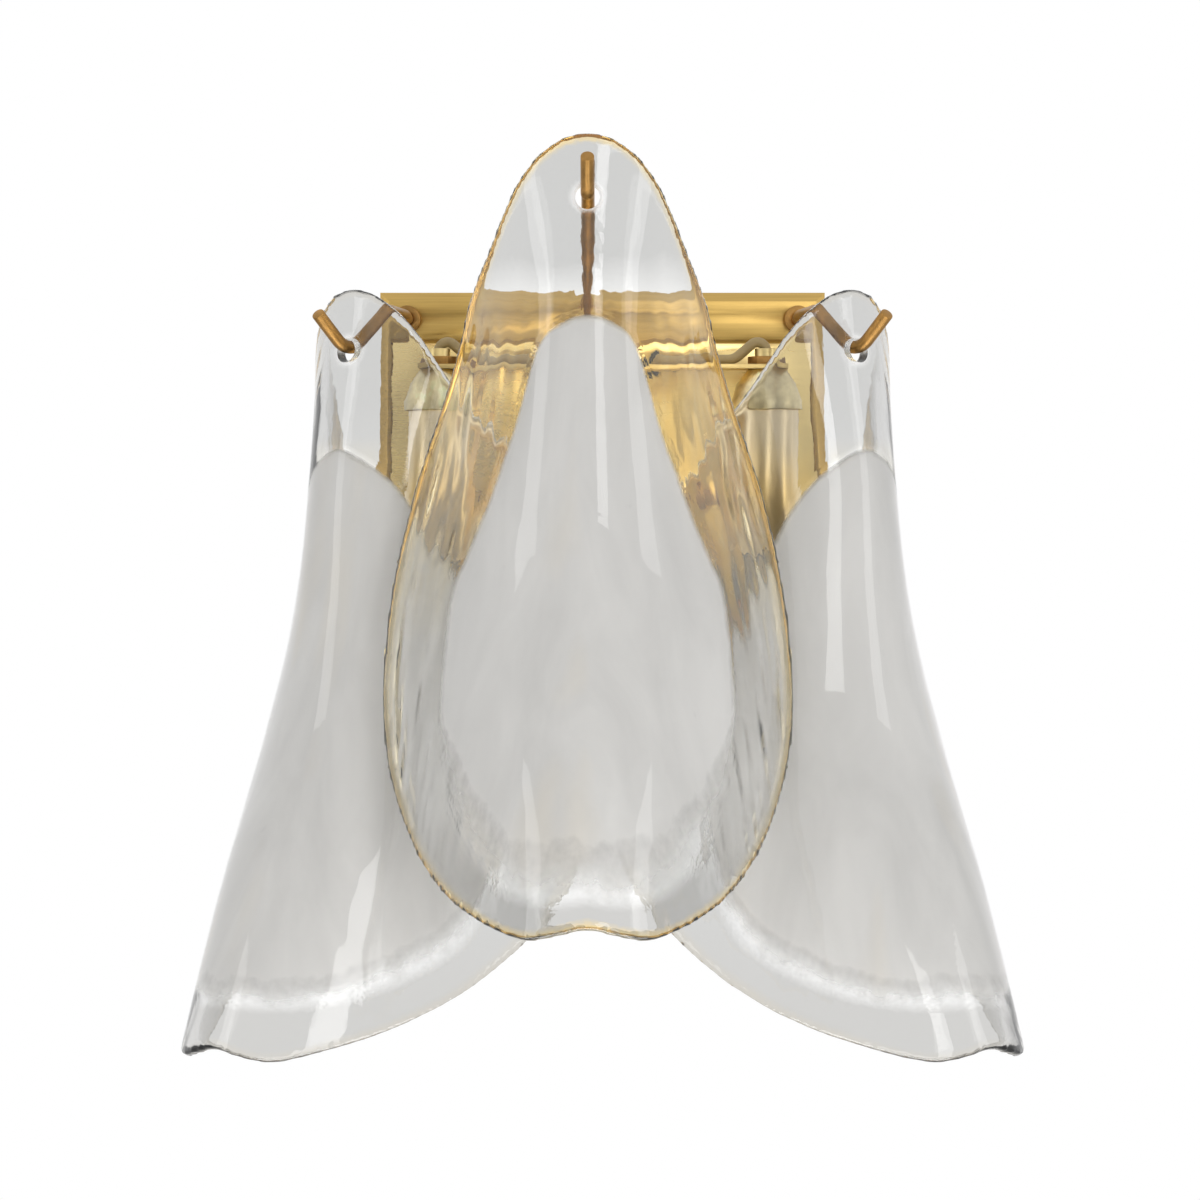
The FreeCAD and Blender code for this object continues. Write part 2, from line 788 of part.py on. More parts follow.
def petal_front_trim():
    """Trims the rounded top and the two lobes of the bottom: their outline seen from the front."""
    half_width = number("petal_half_width")
    length = number("petal_below_hook")
    back = number("petal_fold_depth")
    notch = (0.0, 1 - number("petal_notch") / length)
    top = (0.0, -number("petal_above_hook") / length)
    lobe = PETAL_LOBE[::-1] + PETAL_RIM[-1:]
    lobe = [(-across, drop) for across, drop in lobe[::-1]] + [notch] + lobe
    crown = (PETAL_CROWN + PETAL_RIM[:1])[::-1]
    crown = crown + [top] + [(-across, drop) for across, drop in crown[::-1]]

    def spots(outline):
        return [FreeCAD.Vector(across * half_width, back, -drop * length) for across, drop in outline]

    wide = 2 * half_width
    lower = spots(lobe)
    upper = spots(crown)
    curves = []
    for run in (lower, upper):
        curve = Part.BSplineCurve()
        curve.interpolate(run)
        curves.append(curve.toShape())
    corners = [
        lower[-1],
        FreeCAD.Vector(wide, back, lower[-1].z),
        FreeCAD.Vector(wide, back, upper[0].z),
        upper[0],
    ]
    sides = [Part.LineSegment(a, b).toShape() for a, b in zip(corners, corners[1:])]
    mirrored = [FreeCAD.Vector(-spot.x, spot.y, spot.z) for spot in corners[::-1]]
    others = [Part.LineSegment(a, b).toShape() for a, b in zip(mirrored, mirrored[1:])]
    face = Part.Face(Part.Wire([curves[0], *sides, curves[1], *others]))
    deep = 2 * back + number("petal_bottom_flare")
    return face.extrude(FreeCAD.Vector(0, -deep, 0))


def petal_solid():
    """One hot-folded glass petal in its own place: its hook seat at the origin, its fold towards -Y."""
    blank = Part.makeLoft([petal_section(level[0]) for level in PETAL_LEVELS], True, False)
    leaf = blank.common(petal_side_trim()).common(petal_front_trim())
    radius = number("petal_hole") / 2
    drop = radius - number("rod_diameter") / 2 - number("hang_gap")
    long = number("petal_fold_depth")
    hole = Part.makeCylinder(radius, long, FreeCAD.Vector(0, long / 2, -drop), FreeCAD.Vector(0, -1, 0))
    pieces = leaf.cut(hole).Solids
    if len(pieces) != 1:
        raise ValueError(f"a petal is in {len(pieces)} pieces")
    return pieces[0]


def hang(label, solid, seat, turn_degrees):
    """Hangs a petal from its seat so that its weight is plumb below the hook."""
    centre = solid.CenterOfMass
    lean = math.degrees(math.atan2(-centre.y, -centre.z))
    thing = doc.addObject("Part::Feature", label)
    thing.Shape = solid
    lean_in = FreeCAD.Rotation(FreeCAD.Vector(1, 0, 0), lean)
    turn = FreeCAD.Rotation(FreeCAD.Vector(0, 0, 1), turn_degrees)
    thing.Placement = FreeCAD.Placement(FreeCAD.Vector(*seat), turn.multiply(lean_in))
    print(f"{label}: leans {lean:.2f} degrees, volume {solid.Volume:.0f}")
    return keep(thing, label)


def make_petals():
    solid = petal_solid()
    turn = number("side_turn_degrees")
    hang("petal_centre", solid, centre_seat(), 0.0)
    hang("petal_left", solid, side_seat(-1), -turn)
    hang("petal_right", solid, side_seat(1), turn)


# ---- lampholders


def make_lamp_bar():
    """Bent steel bar: a flange on the cover, a stem out to the lamps and an arm to each side."""
    flange_low = size("bar_level") - size("bar_flange")
    stem_half = size("bar_stem_width") / 2
    bar_half = size("bar_width") / 2
    arm_back = lamp_y + bar_half
    arm_front = lamp_y - bar_half
    arm_end = lamp_x + bar_half
    flange_face = tray_face - size("bar_sheet")
    flange = block(-stem_half, stem_half, flange_face, tray_face, flange_low, bar_top)
    stem = block(-stem_half, stem_half, arm_back, flange_face, size("bar_level"), bar_top)
    arm = block(-arm_end, arm_end, arm_front, arm_back, size("bar_level"), bar_top)
    holes = []
    screw_z = size("bar_level") - size("bar_flange") / 2
    for side in (-1, 1):
        screw_x = size("bar_screw_spacing") / 2 * side
        holes.append(rod(size("bar_screw_diameter"), size("bar_sheet"), screw_x, tray_face, screw_z, OUTWARD))
        holes.append(rod(size("nipple_diameter"), size("bar_sheet"), lamp_x * side, lamp_y, size("bar_level")))
    keep(cut(join(flange, stem, arm), *holes), "lamp_bar")


def make_bar_screws():
    screws = []
    nuts = []
    z = size("bar_level") - size("bar_flange") / 2
    face = tray_face - size("bar_sheet")
    for side in (-1, 1):
        x = size("bar_screw_spacing") / 2 * side
        head = rod(size("bar_screw_head"), size("bar_screw_head_height"), x, face, z, OUTWARD)
        shank_back = face + size("bar_screw_length")
        shank = rod(size("bar_screw_diameter"), size("bar_screw_length"), x, shank_back, z, OUTWARD)
        screws.append(join(head, shank))
        nut_height = size("bar_screw_diameter") * NUT_HEIGHT_SHARE
        nut_back = recess_face + nut_height
        nut = hexagon(size("bar_screw_head"), nut_height, x, nut_back, z, OUTWARD)
        bore = rod(size("bar_screw_diameter"), nut_height, x, nut_back, z, OUTWARD)
        nuts.append(cut(nut, bore))
    keep(group(*screws), "bar_screws")
    keep(group(*nuts), "bar_nuts")


def make_lampholder(name, side):
    """The fixed parts of one lampholder: threaded nipple, nut, domed cap, cover tube, socket and contacts."""
    x = lamp_x * side
    socket_top = size("socket_top")
    nipple_bottom = socket_top - size("socket_roof") / 2
    nipple_top = bar_top + size("nipple_above_bar")
    nipple_radius = size("nipple_diameter") / 2
    nipple_bore = size("nipple_bore") / 2

    def turn(label, corners):
        turned(f"{label}_{name}", corners, x, lamp_y, ZERO)

    turn("nipple", ring_profile(nipple_bore, nipple_radius, nipple_bottom, nipple_top))
    nut = hexagon(size("nipple_nut_width"), size("nipple_nut_height"), x, lamp_y, bar_top)
    thread = rod(size("nipple_diameter"), size("nipple_nut_height"), x, lamp_y, bar_top)
    keep(cut(nut, thread), f"nipple_nut_{name}")

    dome_top = size("bar_level")
    dome_bottom = dome_top - size("dome_height")
    skirt_top = dome_bottom + size("dome_skirt")
    wall = size("dome_wall")
    outer = size("dome_diameter") / 2
    crown = size("dome_top_diameter") / 2
    shoulder = skirt_top + (dome_top - skirt_top) * DOME_SHOULDER_RISE
    shoulder_radius = outer - (outer - crown) * DOME_SHOULDER_NARROWING
    turn(
        "dome_cap",
        [
            (outer - wall, dome_bottom),
            (outer, dome_bottom),
            (outer, skirt_top),
            (shoulder_radius, shoulder),
            (crown, dome_top),
            (nipple_radius, dome_top),
            (nipple_radius, dome_top - wall),
            (crown - wall / 2, dome_top - wall),
            (shoulder_radius - wall, shoulder - wall / 2),
            (outer - wall, skirt_top - wall / 2),
        ],
    )

    tube_outer = size("tube_diameter") / 2
    tube_inner = tube_outer - size("tube_wall")
    tube_top = dome_bottom + size("dome_skirt") / 2
    tube_roof = tube_top - size("tube_wall")
    turn(
        "cover_tube",
        [
            (tube_inner, -size("tube_bottom")),
            (tube_outer, -size("tube_bottom")),
            (tube_outer, tube_top),
            (nipple_radius, tube_top),
            (nipple_radius, tube_roof),
            (tube_inner, tube_roof),
        ],
    )

    shell_inner = size("lamp_cap_diameter") / 2 + size("shell_clearance")
    shell_outer = shell_inner + size("shell_wall")
    socket_radius = size("socket_diameter") / 2
    socket_bottom = -size("socket_bottom")
    roof = socket_top - size("socket_roof")
    turn(
        "socket_body",
        [
            (shell_outer, socket_bottom),
            (socket_radius, socket_bottom),
            (socket_radius, socket_top),
            (nipple_radius, socket_top),
            (nipple_radius, nipple_bottom),
            (nipple_bore, nipple_bottom),
            (nipple_bore, roof),
            (shell_outer, roof),
        ],
    )
    shell_top = socket_bottom + size("shell_length")
    turn("socket_shell", ring_profile(shell_inner, shell_outer, socket_bottom, shell_top))

    seat = cap_top + size("lamp_button_height") + size("lamp_seat_gap")
    spring_radius = size("contact_diameter") / 2
    turn(
        "socket_contact",
        [
            (ZERO, seat),
            (spring_radius, seat),
            (spring_radius, seat + size("contact_height")),
            (nipple_bore + size("contact_height"), roof - size("contact_height")),
            (shell_outer, roof - size("contact_height")),
            (shell_outer, roof),
            (nipple_bore, roof),
            (ZERO, seat + size("contact_height") * 2),
        ],
    )


def make_lamp(name, side):
    """One small-cap lamp: cap, contact button, glass bulb, glass stem and the filaments on it."""
    x = lamp_x * side
    cap_radius = size("lamp_cap_diameter") / 2
    cap_bottom = cap_top - size("lamp_cap_length")
    button_radius = size("lamp_button_diameter") / 2
    button_top = cap_top + size("lamp_button_height")

    def turn(label, corners):
        turned(f"{label}_{name}", corners, x, lamp_y, ZERO)

    turn(
        "lamp_cap",
        [
            (cap_radius - size("shell_wall"), cap_bottom),
            (cap_radius, cap_bottom),
            (cap_radius, cap_top - size("lamp_skirt")),
            (button_radius + size("shell_wall"), cap_top),
            (button_radius, cap_top),
            (button_radius, cap_top - size("shell_wall")),
            (cap_radius - size("shell_wall"), cap_top - size("lamp_skirt") - size("shell_wall")),
        ],
    )
    button_foot = cap_top - size("shell_wall")
    turn(
        "lamp_button",
        [
            (ZERO, button_foot),
            (button_radius, button_foot),
            (button_radius, cap_top),
            (button_radius * BUTTON_FACE_SHARE, button_top),
            (ZERO, button_top),
        ],
    )
    make_bulb(name, x, cap_bottom)
    stem_top = cap_bottom
    stem_bottom = cap_bottom - size("stem_length")
    stem_radius = size("stem_diameter") / 2
    flare_radius = cap_radius - size("shell_wall") - size("bulb_glass")
    turn(
        "bulb_stem",
        [
            (ZERO, stem_bottom),
            (stem_radius, stem_bottom),
            (stem_radius, stem_top - size("stem_flare")),
            (flare_radius, stem_top),
            (ZERO, stem_top),
        ],
    )
    filaments = []
    filament_top = stem_bottom + size("filament_above_stem_tip")
    wire_level = filament_top - size("filament_wire") / 2
    spread = size("filament_spread")
    for across, along in ((-1, 0), (1, 0), (0, -1), (0, 1)):
        at_x = x + spread * across
        at_y = lamp_y + spread * along
        bottom = filament_top - size("filament_length")
        strip = rod(size("filament_diameter"), size("filament_length"), at_x, at_y, bottom)
        outward = FreeCAD.Rotation(FreeCAD.Vector(0, 0, 1), FreeCAD.Vector(across, along, 0))
        foot_x = x + stem_radius * across
        foot_y = lamp_y + stem_radius * along
        wire = rod(size("filament_wire"), spread - stem_radius, foot_x, foot_y, wire_level, outward)
        filaments.append(join(strip, wire))
    keep(group(*filaments), f"filaments_{name}")


def make_bulb(name, x, cap_bottom):
    """Blown bulb: a neck in the cap, widening to a ball that closes below."""
    outer = size("bulb_diameter") / 2
    neck = size("lamp_cap_diameter") / 2 - size("shell_wall")
    collar = size("bulb_neck_diameter") / 2
    glass = size("bulb_glass")
    bottom = cap_bottom - size("bulb_length")
    centre = bottom + outer
    body = doc.addObject("PartDesign::Body", f"bulb_{name}")
    sketch = new_sketch(body, "XZ_Plane")
    neck_top = cap_bottom + size("lamp_skirt")
    collar_level = cap_bottom - size("lamp_skirt")
    meets = centre + outer * BALL_MEETS_RISE
    reach = outer * BALL_MEETS_REACH
    line = sketch.addGeometry
    rule = sketch.addConstraint
    point = FreeCAD.Vector

    def held(geometry, end, across, along):
        for kind, length in (("DistanceX", across), ("DistanceY", along)):
            index = rule(Sketcher.Constraint(kind, -1, 1, geometry, end, length.number))
            sketch.setExpression(f"Constraints[{index}]", length.text)

    def at(across, along):
        return point(across.number, along.number, 0)

    outer_corners = [(neck, neck_top), (neck, collar_level), (collar, collar_level - glass), (reach, meets)]
    inner_reach = reach - glass * BALL_MEETS_REACH
    inner_meets = meets - glass * BALL_MEETS_RISE
    inner_corners = [
        (inner_reach, inner_meets),
        (collar - glass, collar_level - glass * 2),
        (neck - glass, collar_level - glass),
        (neck - glass, neck_top),
    ]
    first = None
    for start, end in zip(outer_corners, outer_corners[1:]):
        index = line(Part.LineSegment(at(*start), at(*end)), False)
        held(index, 1, *start)
        held(index, 2, *end)
        first = index if first is None else first
    ball = Part.Circle(at(ZERO, centre), point(0, 0, 1), outer.number)
    angle = math.atan2(meets.number - centre.number, reach.number)
    outer_arc = line(Part.ArcOfCircle(ball, -math.pi / 2, angle), False)
    held(outer_arc, 1, ZERO, bottom)
    held(outer_arc, 2, reach, meets)
    index = rule(Sketcher.Constraint("DistanceY", -1, 1, outer_arc, 3, centre.number))
    sketch.setExpression(f"Constraints[{index}]", centre.text)
    axis = line(Part.LineSegment(at(ZERO, bottom), at(ZERO, bottom + glass)), False)
    held(axis, 1, ZERO, bottom)
    held(axis, 2, ZERO, bottom + glass)
    hollow = Part.Circle(at(ZERO, centre), point(0, 0, 1), outer.number - glass.number)
    inner_angle = math.atan2(inner_meets.number - centre.number, inner_reach.number)
    inner_arc = line(Part.ArcOfCircle(hollow, -math.pi / 2, inner_angle), False)
    held(inner_arc, 1, ZERO, bottom + glass)
    held(inner_arc, 2, inner_reach, inner_meets)
    index = rule(Sketcher.Constraint("DistanceY", -1, 1, inner_arc, 3, centre.number))
    sketch.setExpression(f"Constraints[{index}]", centre.text)
    for start, end in zip(inner_corners, inner_corners[1:]):
        index = line(Part.LineSegment(at(*start), at(*end)), False)
        held(index, 1, *start)
        held(index, 2, *end)
    index = line(Part.LineSegment(at(*inner_corners[-1]), at(*outer_corners[0])), False)
    held(index, 1, *inner_corners[-1])
    held(index, 2, *outer_corners[0])
    feature = body.newObject("PartDesign::Revolution", "Revolution")
    feature.Profile = sketch
    feature.ReferenceAxis = (sketch, ["V_Axis"])
    feature.Angle = 360.0
    doc.recompute()
    place(body, x, lamp_y, ZERO)
    keep(body, f"bulb_{name}")


def make_lead(name, side):
    """Sleeved lead from the terminals, out through the cover, along the bar and down the nipple."""
    start_x = number("terminal_pitch") * side
    out_x = lead_x.number * side
    lamp_at = lamp_x.number * side
    level = lead_z.number
    terminal_top = number("cable_hole") / 2 + number("grommet_lip") + number("grommet_thick") / 2
    terminal_top += number("terminal_height")
    middle = plate_face.number - number("terminal_depth") / 2
    along = lamp_y.number
    loop = level + number("lead_loop_rise")
    down = number("socket_top") - number("socket_roof") / 2
    points = [
        (start_x, middle, terminal_top),
        (start_x, middle, level - number("lead_bend")),
        (out_x, middle, level),
        (out_x, along, level),
        (lamp_at - side * number("nipple_nut_width"), along, level),
        (lamp_at, along, loop),
        (lamp_at, along, down),
    ]
    bent_bar(f"lead_{name}", points, number("lead_diameter"), number("lead_bend"))


def make_lead_grommets():
    rings = [
        flat_grommet(
            size("lead_diameter"),
            size("lead_grommet_diameter"),
            size("grommet_thick") / 2,
            recess_face,
            tray_face,
            lead_x * side,
            lead_z,
        )
        for side in (-1, 1)
    ]
    keep(group(*rings), "lead_grommets")


make_tray()
make_cover()
make_wall_plate()
make_studs()
make_cable_entry()
make_terminals()
make_earth_screw()
make_hook_fixings()
make_hooks()
make_petals()
make_lamp_bar()
make_bar_screws()
make_lead_grommets()
for name, side in (("left", -1), ("right", 1)):
    make_lampholder(name, side)
    make_lamp(name, side)
    make_lead(name, side)

doc.recompute()
for thing in doc.Objects:
    if "Invalid" in thing.State or "Error" in thing.State:
        raise ValueError(f"{thing.Name} ({thing.Label}): {thing.State}")
for thing in finished:
    if thing.Shape.isNull() or not thing.Shape.isValid():
        raise ValueError(f"{thing.Label}: its shape is not sound")

os.makedirs("parts", exist_ok=True)
for thing in finished:
    thing.Shape.exportStep(f"parts/{thing.Label}.step")
print(f"{len(finished)} pieces written")
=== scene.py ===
import json
import math

import bpy
from mathutils import Matrix, Vector, kdtree, noise


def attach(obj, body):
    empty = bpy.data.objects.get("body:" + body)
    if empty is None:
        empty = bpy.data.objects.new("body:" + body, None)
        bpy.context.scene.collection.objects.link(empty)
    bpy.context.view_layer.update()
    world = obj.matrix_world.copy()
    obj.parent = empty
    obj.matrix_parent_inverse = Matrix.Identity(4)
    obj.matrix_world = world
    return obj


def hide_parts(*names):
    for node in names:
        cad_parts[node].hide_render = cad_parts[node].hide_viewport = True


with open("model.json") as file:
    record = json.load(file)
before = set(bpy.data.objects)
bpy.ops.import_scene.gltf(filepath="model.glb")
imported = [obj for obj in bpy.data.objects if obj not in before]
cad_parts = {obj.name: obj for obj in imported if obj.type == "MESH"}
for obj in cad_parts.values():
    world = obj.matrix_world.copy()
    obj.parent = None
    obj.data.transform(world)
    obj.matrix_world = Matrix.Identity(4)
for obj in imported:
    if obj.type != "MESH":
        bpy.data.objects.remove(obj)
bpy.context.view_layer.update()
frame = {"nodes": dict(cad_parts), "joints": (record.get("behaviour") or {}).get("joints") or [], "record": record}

# Wall sconce: three folded glass petals hang on brass hooks in front of a brass wall plate, which also
# carries two lampholders. Metres. +Z is up, the wall is the plane Y = 0, and the light stands out of it
# towards -Y.

bl_info = {
    "name": "Petal wall sconce",
    "version": (1, 0, 0),
    "blender": (4, 5, 0),
    "location": "View3D > Sidebar > Sconce",
    "description": "Builds the glass petals, finishes and studio of a wall sconce round its construction model",
    "category": "Add Mesh",
}

# The petal's outline, seen square on to its fold: share of the half width, and share of the drop below
# the hook (above it where negative), from the top down one side to the notch.
PETAL_EDGE = [
    (0.0, -0.084), (0.18, -0.067), (0.335, -0.017), (0.48, 0.077), (0.57, 0.143), (0.62, 0.203),
    (0.695, 0.277), (0.85, 0.41), (0.955, 0.543), (0.998, 0.667), (0.995, 0.743), (0.95, 0.817),
    (0.865, 0.88), (0.755, 0.93), (0.61, 0.967), (0.44, 0.99), (0.29, 1.0), (0.14, 0.992), (0.0, 0.983),
]
# The milky cores' outlines in the same shares: a slim one in the middle petal, wider ones at the sides.
CORE_EDGE = [
    (0.0, 0.166), (0.12, 0.175), (0.232, 0.208), (0.355, 0.325), (0.48, 0.42), (0.578, 0.49),
    (0.665, 0.552), (0.703, 0.667), (0.703, 0.755), (0.64, 0.84), (0.54, 0.90), (0.38, 0.945),
    (0.18, 0.955), (0.0, 0.95),
]
SIDE_CORE_EDGE = [
    (0.0, 0.145), (0.12, 0.157), (0.25, 0.187), (0.36, 0.238), (0.48, 0.33), (0.60, 0.43),
    (0.70, 0.53), (0.79, 0.65), (0.81, 0.75), (0.78, 0.835), (0.70, 0.88), (0.56, 0.912),
    (0.40, 0.926), (0.20, 0.928), (0.0, 0.925),
]
# The fold, level by level: share of the drop below the hook, how far the fold stands out as a share of
# the flare at the bottom, and how deep the sides fold back, as a share of the fold's depth.
PETAL_LEVELS = [
    (-0.12, -0.04, 0.72), (0.0, 0.0, 1.06), (0.167, 0.09, 1.4), (0.367, 0.168, 1.12),
    (0.567, 0.336, 0.84), (0.767, 0.667, 1.02), (1.06, 1.06, 1.2),
]
SIDES = ("left", "right")
PETAL_GRID = (96, 120)
CORE_GRID = (72, 96)
SMOOTH_LIMIT = math.radians(50.0)

# Strokes of brushed metal: the axis they run along is the small one.
ALONG_X = (0.02, 1.0, 1.0)
ALONG_Z = (1.0, 1.0, 0.02)

GROUND_GLASS = (0.97, 0.97, 0.96, 1.0)
WARM_MILK = (0.88, 0.80, 0.66, 1.0)

# Lamps: name, place, the point they face, width, height, power in watts.
PART_MIDDLE = (0.0, -0.10, 0.0)
HOLLOWS = (0.0, -0.14, 0.0)
LAMPS = (
    ("front_lamp", (0.55, -1.70, 0.10), PART_MIDDLE, 0.40, 1.2, 5.2),
    ("left_lamp", (-1.50, -0.75, 0.10), PART_MIDDLE, 0.40, 1.2, 3.0),
    ("low_lamp", (0.0, -0.75, -0.45), PART_MIDDLE, 0.60, 0.30, 1.3),
    ("hollow_lamp", (0.0, -0.25, -0.50), HOLLOWS, 0.50, 0.25, 2.0),
    ("right_lamp", (1.50, -0.75, 0.10), PART_MIDDLE, 0.40, 1.2, 3.0),
)


# ---- sizes and colours


def length(name, default, description):
    return bpy.props.FloatProperty(
        name=name, description=description, default=default, min=0.0, subtype="DISTANCE", unit="LENGTH"
    )


def colour(name, default, description):
    return bpy.props.FloatVectorProperty(
        name=name, description=description, default=default, size=3, min=0.0, max=1.0, subtype="COLOR"
    )


class PetalSizes(bpy.types.PropertyGroup):
    half_width: length("Half width", 0.082, "Half the width of a petal at its widest")
    below_hook: length("Below hook", 0.2925, "Drop from the hook seat to the lobes")
    ridge_thick: length("Thickness at the fold", 0.0050, "Glass thickness along the fold")
    rim_thick: length("Thickness at the rim", 0.0072, "Glass thickness at the rim")
    bottom_flare: length("Flare", 0.0935, "How far the fold stands out at the bottom")
    fold_depth: length("Fold depth", 0.105, "How deep the sides fold back")
    hole: length("Hole", 0.010, "Diameter of the hanging hole")
    hole_drop: length("Hole drop", 0.00145, "Drop from the hook seat to the hole's centre")
    core_thick: length("Core thickness", 0.0016, "Thickness of the milky core")
    grain: length("Grain", 0.0015, "Edge length of the finished glass mesh")
    wave: length("Wave", 0.00026, "Height of the broad waves in the glass")
    streak: length("Streak", 0.00022, "Height of the drawn-out streaks on the wings")
    crisp_edge: length("Crisp edge", 0.0030, "Width of the milky core's edge at the sides")
    wispy_edge: length("Wispy edge", 0.030, "Width of the middle core's edge at the bottom")


class FinishColours(bpy.types.PropertyGroup):
    # Painted light and shade: the wall plate's darker brass and the cover's lighter brass are shaded and lit
    # copies of one brass.
    satin_brass: colour("Satin brass", (0.58, 0.385, 0.12), "Wall plate")
    cover_brass: colour("Cover brass", (0.98, 0.76, 0.34), "Front cover")
    hook_brass: colour("Hook brass", (0.38, 0.21, 0.065), "Hooks and their collars")
    # Painted highlight: the tubes' brass is lightened to the brightness of their highlights behind the glass.
    tube_brass: colour("Tube brass", (0.95, 0.79, 0.53), "Lampholder cover tubes")
    # Painted light: the domes' colour is lightened well past olive to make up for the shade behind the glass.
    olive: colour("Olive metal", (0.90, 0.77, 0.47), "Lampholder domes")
    bar_brass: colour("Bar brass", (0.62, 0.46, 0.19), "Lamp bar")
    zinc: colour("Zinc", (0.55, 0.56, 0.58), "Wall plate steel, studs and nuts")
    yellow_zinc: colour("Yellow zinc", (0.66, 0.52, 0.24), "Threaded nipples of the lampholders")
    # Painted shade: crown, side and foot glass are grey tints over clear glass, and the side petals' glass is a
    # darker, shaded copy of the middle petal's clear glass.
    crown_glass: colour("Crown glass", (0.62, 0.62, 0.61), "Grey glass at the top of the petals")
    clear_glass: colour("Clear glass", (1.0, 1.0, 0.985), "Clear glass of the middle petal's wings")
    side_glass: colour("Side glass", (0.66, 0.66, 0.65), "Clear glass of the side petals")
    foot_glass: colour("Foot glass", (0.64, 0.635, 0.62), "Grey glass at the bottom of the petals")
    cased_glass: colour("Cased glass", (0.95, 0.95, 0.94), "Clear glass over the milky core")
    # Painted reflection: brass tone laid on the petals' rim line, standing in for the brass reflected in the
    # glass's edge.
    gilt: colour("Gilt", (0.98, 0.76, 0.34), "Brass tone that the middle petal's rim picks up")
    # Painted reflection: the brass tone of the wing patches stands in for the brass plate reflected in the glass.
    glow: colour("Brass glow", (1.0, 0.86, 0.50), "Brass tone of the patches in the wings")
    milk: colour("Milky core", (0.80, 0.79, 0.775), "White core of the petals")
    phosphor: colour("Phosphor", (0.95, 0.42, 0.06), "Filament strips")
    bright_brass: colour("Bright brass", (0.75, 0.52, 0.18), "Contacts, threaded shells and terminals")
    cap_metal: colour("Cap metal", (0.72, 0.72, 0.72), "Lamp caps")
    ceramic: colour("Ceramic", (0.86, 0.84, 0.78), "Insulators of the lampholders")
    rubber: colour("Rubber", (0.02, 0.02, 0.02), "Cable bush and grommets")
    plastic: colour("Plastic", (0.82, 0.82, 0.80), "Terminal block")
    sleeve: colour("Sleeve", (0.42, 0.31, 0.14), "Sleeving of the leads")


class StageSettings(bpy.types.PropertyGroup):
    camera_distance: length("Camera distance", 2.120, "From the wall to the camera")
    camera_drop: length("Camera drop", 0.0435, "How far the camera is below the plate's centre")
    frame_focal: bpy.props.FloatProperty(
        name="Focal length in frames", description="Focal length over the frame's width", default=4762 / 1200
    )
    frame_shift: bpy.props.FloatProperty(
        name="Frame shift", description="Sideways shift of the frame over its width", default=-2.5 / 1200
    )
    floor_drop: length("Floor drop", 0.62, "From the plate's centre to the floor")
    floor_radius: length("Floor radius", 1.6, "Radius of the floor")
    floor_tone: colour("Floor", (0.82, 0.82, 0.82), "Floor")
    fill_level: bpy.props.FloatProperty(
        name="Fill level", description="How strongly the white surroundings light the part", default=0.72
    )


# ---- shader maths


class Value:
    """One shader socket. Arithmetic on it adds Math nodes."""

    def __init__(self, finish, socket):
        self.finish = finish
        self.socket = socket

    def _math(self, operation, first, second):
        return self.finish.add("ShaderNodeMath", {"operation": operation}, {0: first, 1: second})

    def __add__(self, other):
        return self._math("ADD", self, other)

    def __radd__(self, other):
        return self._math("ADD", other, self)

    def __sub__(self, other):
        return self._math("SUBTRACT", self, other)

    def __rsub__(self, other):
        return self._math("SUBTRACT", other, self)

    def __mul__(self, other):
        return self._math("MULTIPLY", self, other)

    def __rmul__(self, other):
        return self._math("MULTIPLY", other, self)


class Finish:
    """One material: a Principled shader and the nodes that vary it."""

    def __init__(self, name, **fixed):
        self.material = bpy.data.materials.new(name)
        self.material.use_nodes = True
        self.tree = self.material.node_tree
        self.shader = next(node for node in self.tree.nodes if node.type == "BSDF_PRINCIPLED")
        for name, value in fixed.items():
            self.shader.inputs[name.replace("_", " ")].default_value = value

    def add(self, kind, settings=(), sockets=(), output=0):
        """Adds a node: its settings first, then the values or links of its sockets."""
        node = self.tree.nodes.new(kind)
        for name, value in dict(settings).items():
            if name == "stops":
                ramp = node.color_ramp
                while len(ramp.elements) < len(value):
                    ramp.elements.new(0.5)
                for element, (place, shade) in zip(ramp.elements, value):
                    element.position = place
                    element.color = (*shade, 1.0)
            else:
                setattr(node, name, value)
        for name, value in dict(sockets).items():
            self.feed(node.inputs[name], value)
        return Value(self, node.outputs[output])

    def feed(self, socket, value):
        if isinstance(value, Value):
            self.tree.links.new(value.socket, socket)
        else:
            socket.default_value = value

    def set(self, **sockets):
        for name, value in sockets.items():
            self.feed(self.shader.inputs[name.replace("_", " ")], value)

    def place(self, scale=(1.0, 1.0, 1.0)):
        """Object coordinates, scaled."""
        spot = self.add("ShaderNodeTexCoord", output="Object")
        return self.add("ShaderNodeMapping", {}, {"Vector": spot, "Scale": scale})

    def measured(self, name):
        """A value that the mesh holds at each vertex."""
        return self.add("ShaderNodeAttribute", {"attribute_name": name}, output="Fac")

    def noise(self, spot, scale, detail=2.0, roughness=0.5, distortion=0.0):
        sockets = {
            "Vector": spot,
            "Scale": scale,
            "Detail": detail,
            "Roughness": roughness,
            "Distortion": distortion,
        }
        return self.add("ShaderNodeTexNoise", {}, sockets)

    def span(self, value, low, high, to_low=0.0, to_high=1.0):
        """The value, stretched from one range to another and held at the ends."""
        return self.add(
            "ShaderNodeMapRange",
            {"clamp": True},
            {"Value": value, "From Min": low, "From Max": high, "To Min": to_low, "To Max": to_high},
        )

    def blend(self, factor, first, second):
        """A colour between two colours."""
        return self.add(
            "ShaderNodeMix", {"data_type": "RGBA"}, {"Factor": factor, 6: first, 7: second}, output=2
        )

    def bump(self, height, strength, distance):
        return self.add("ShaderNodeBump", {}, {"Height": height, "Strength": strength, "Distance": distance})


def tones(base, *shares):
    """Tones of one colour, one for each share of its brightness."""
    return [(*(channel * share for channel in base), 1.0) for share in shares]


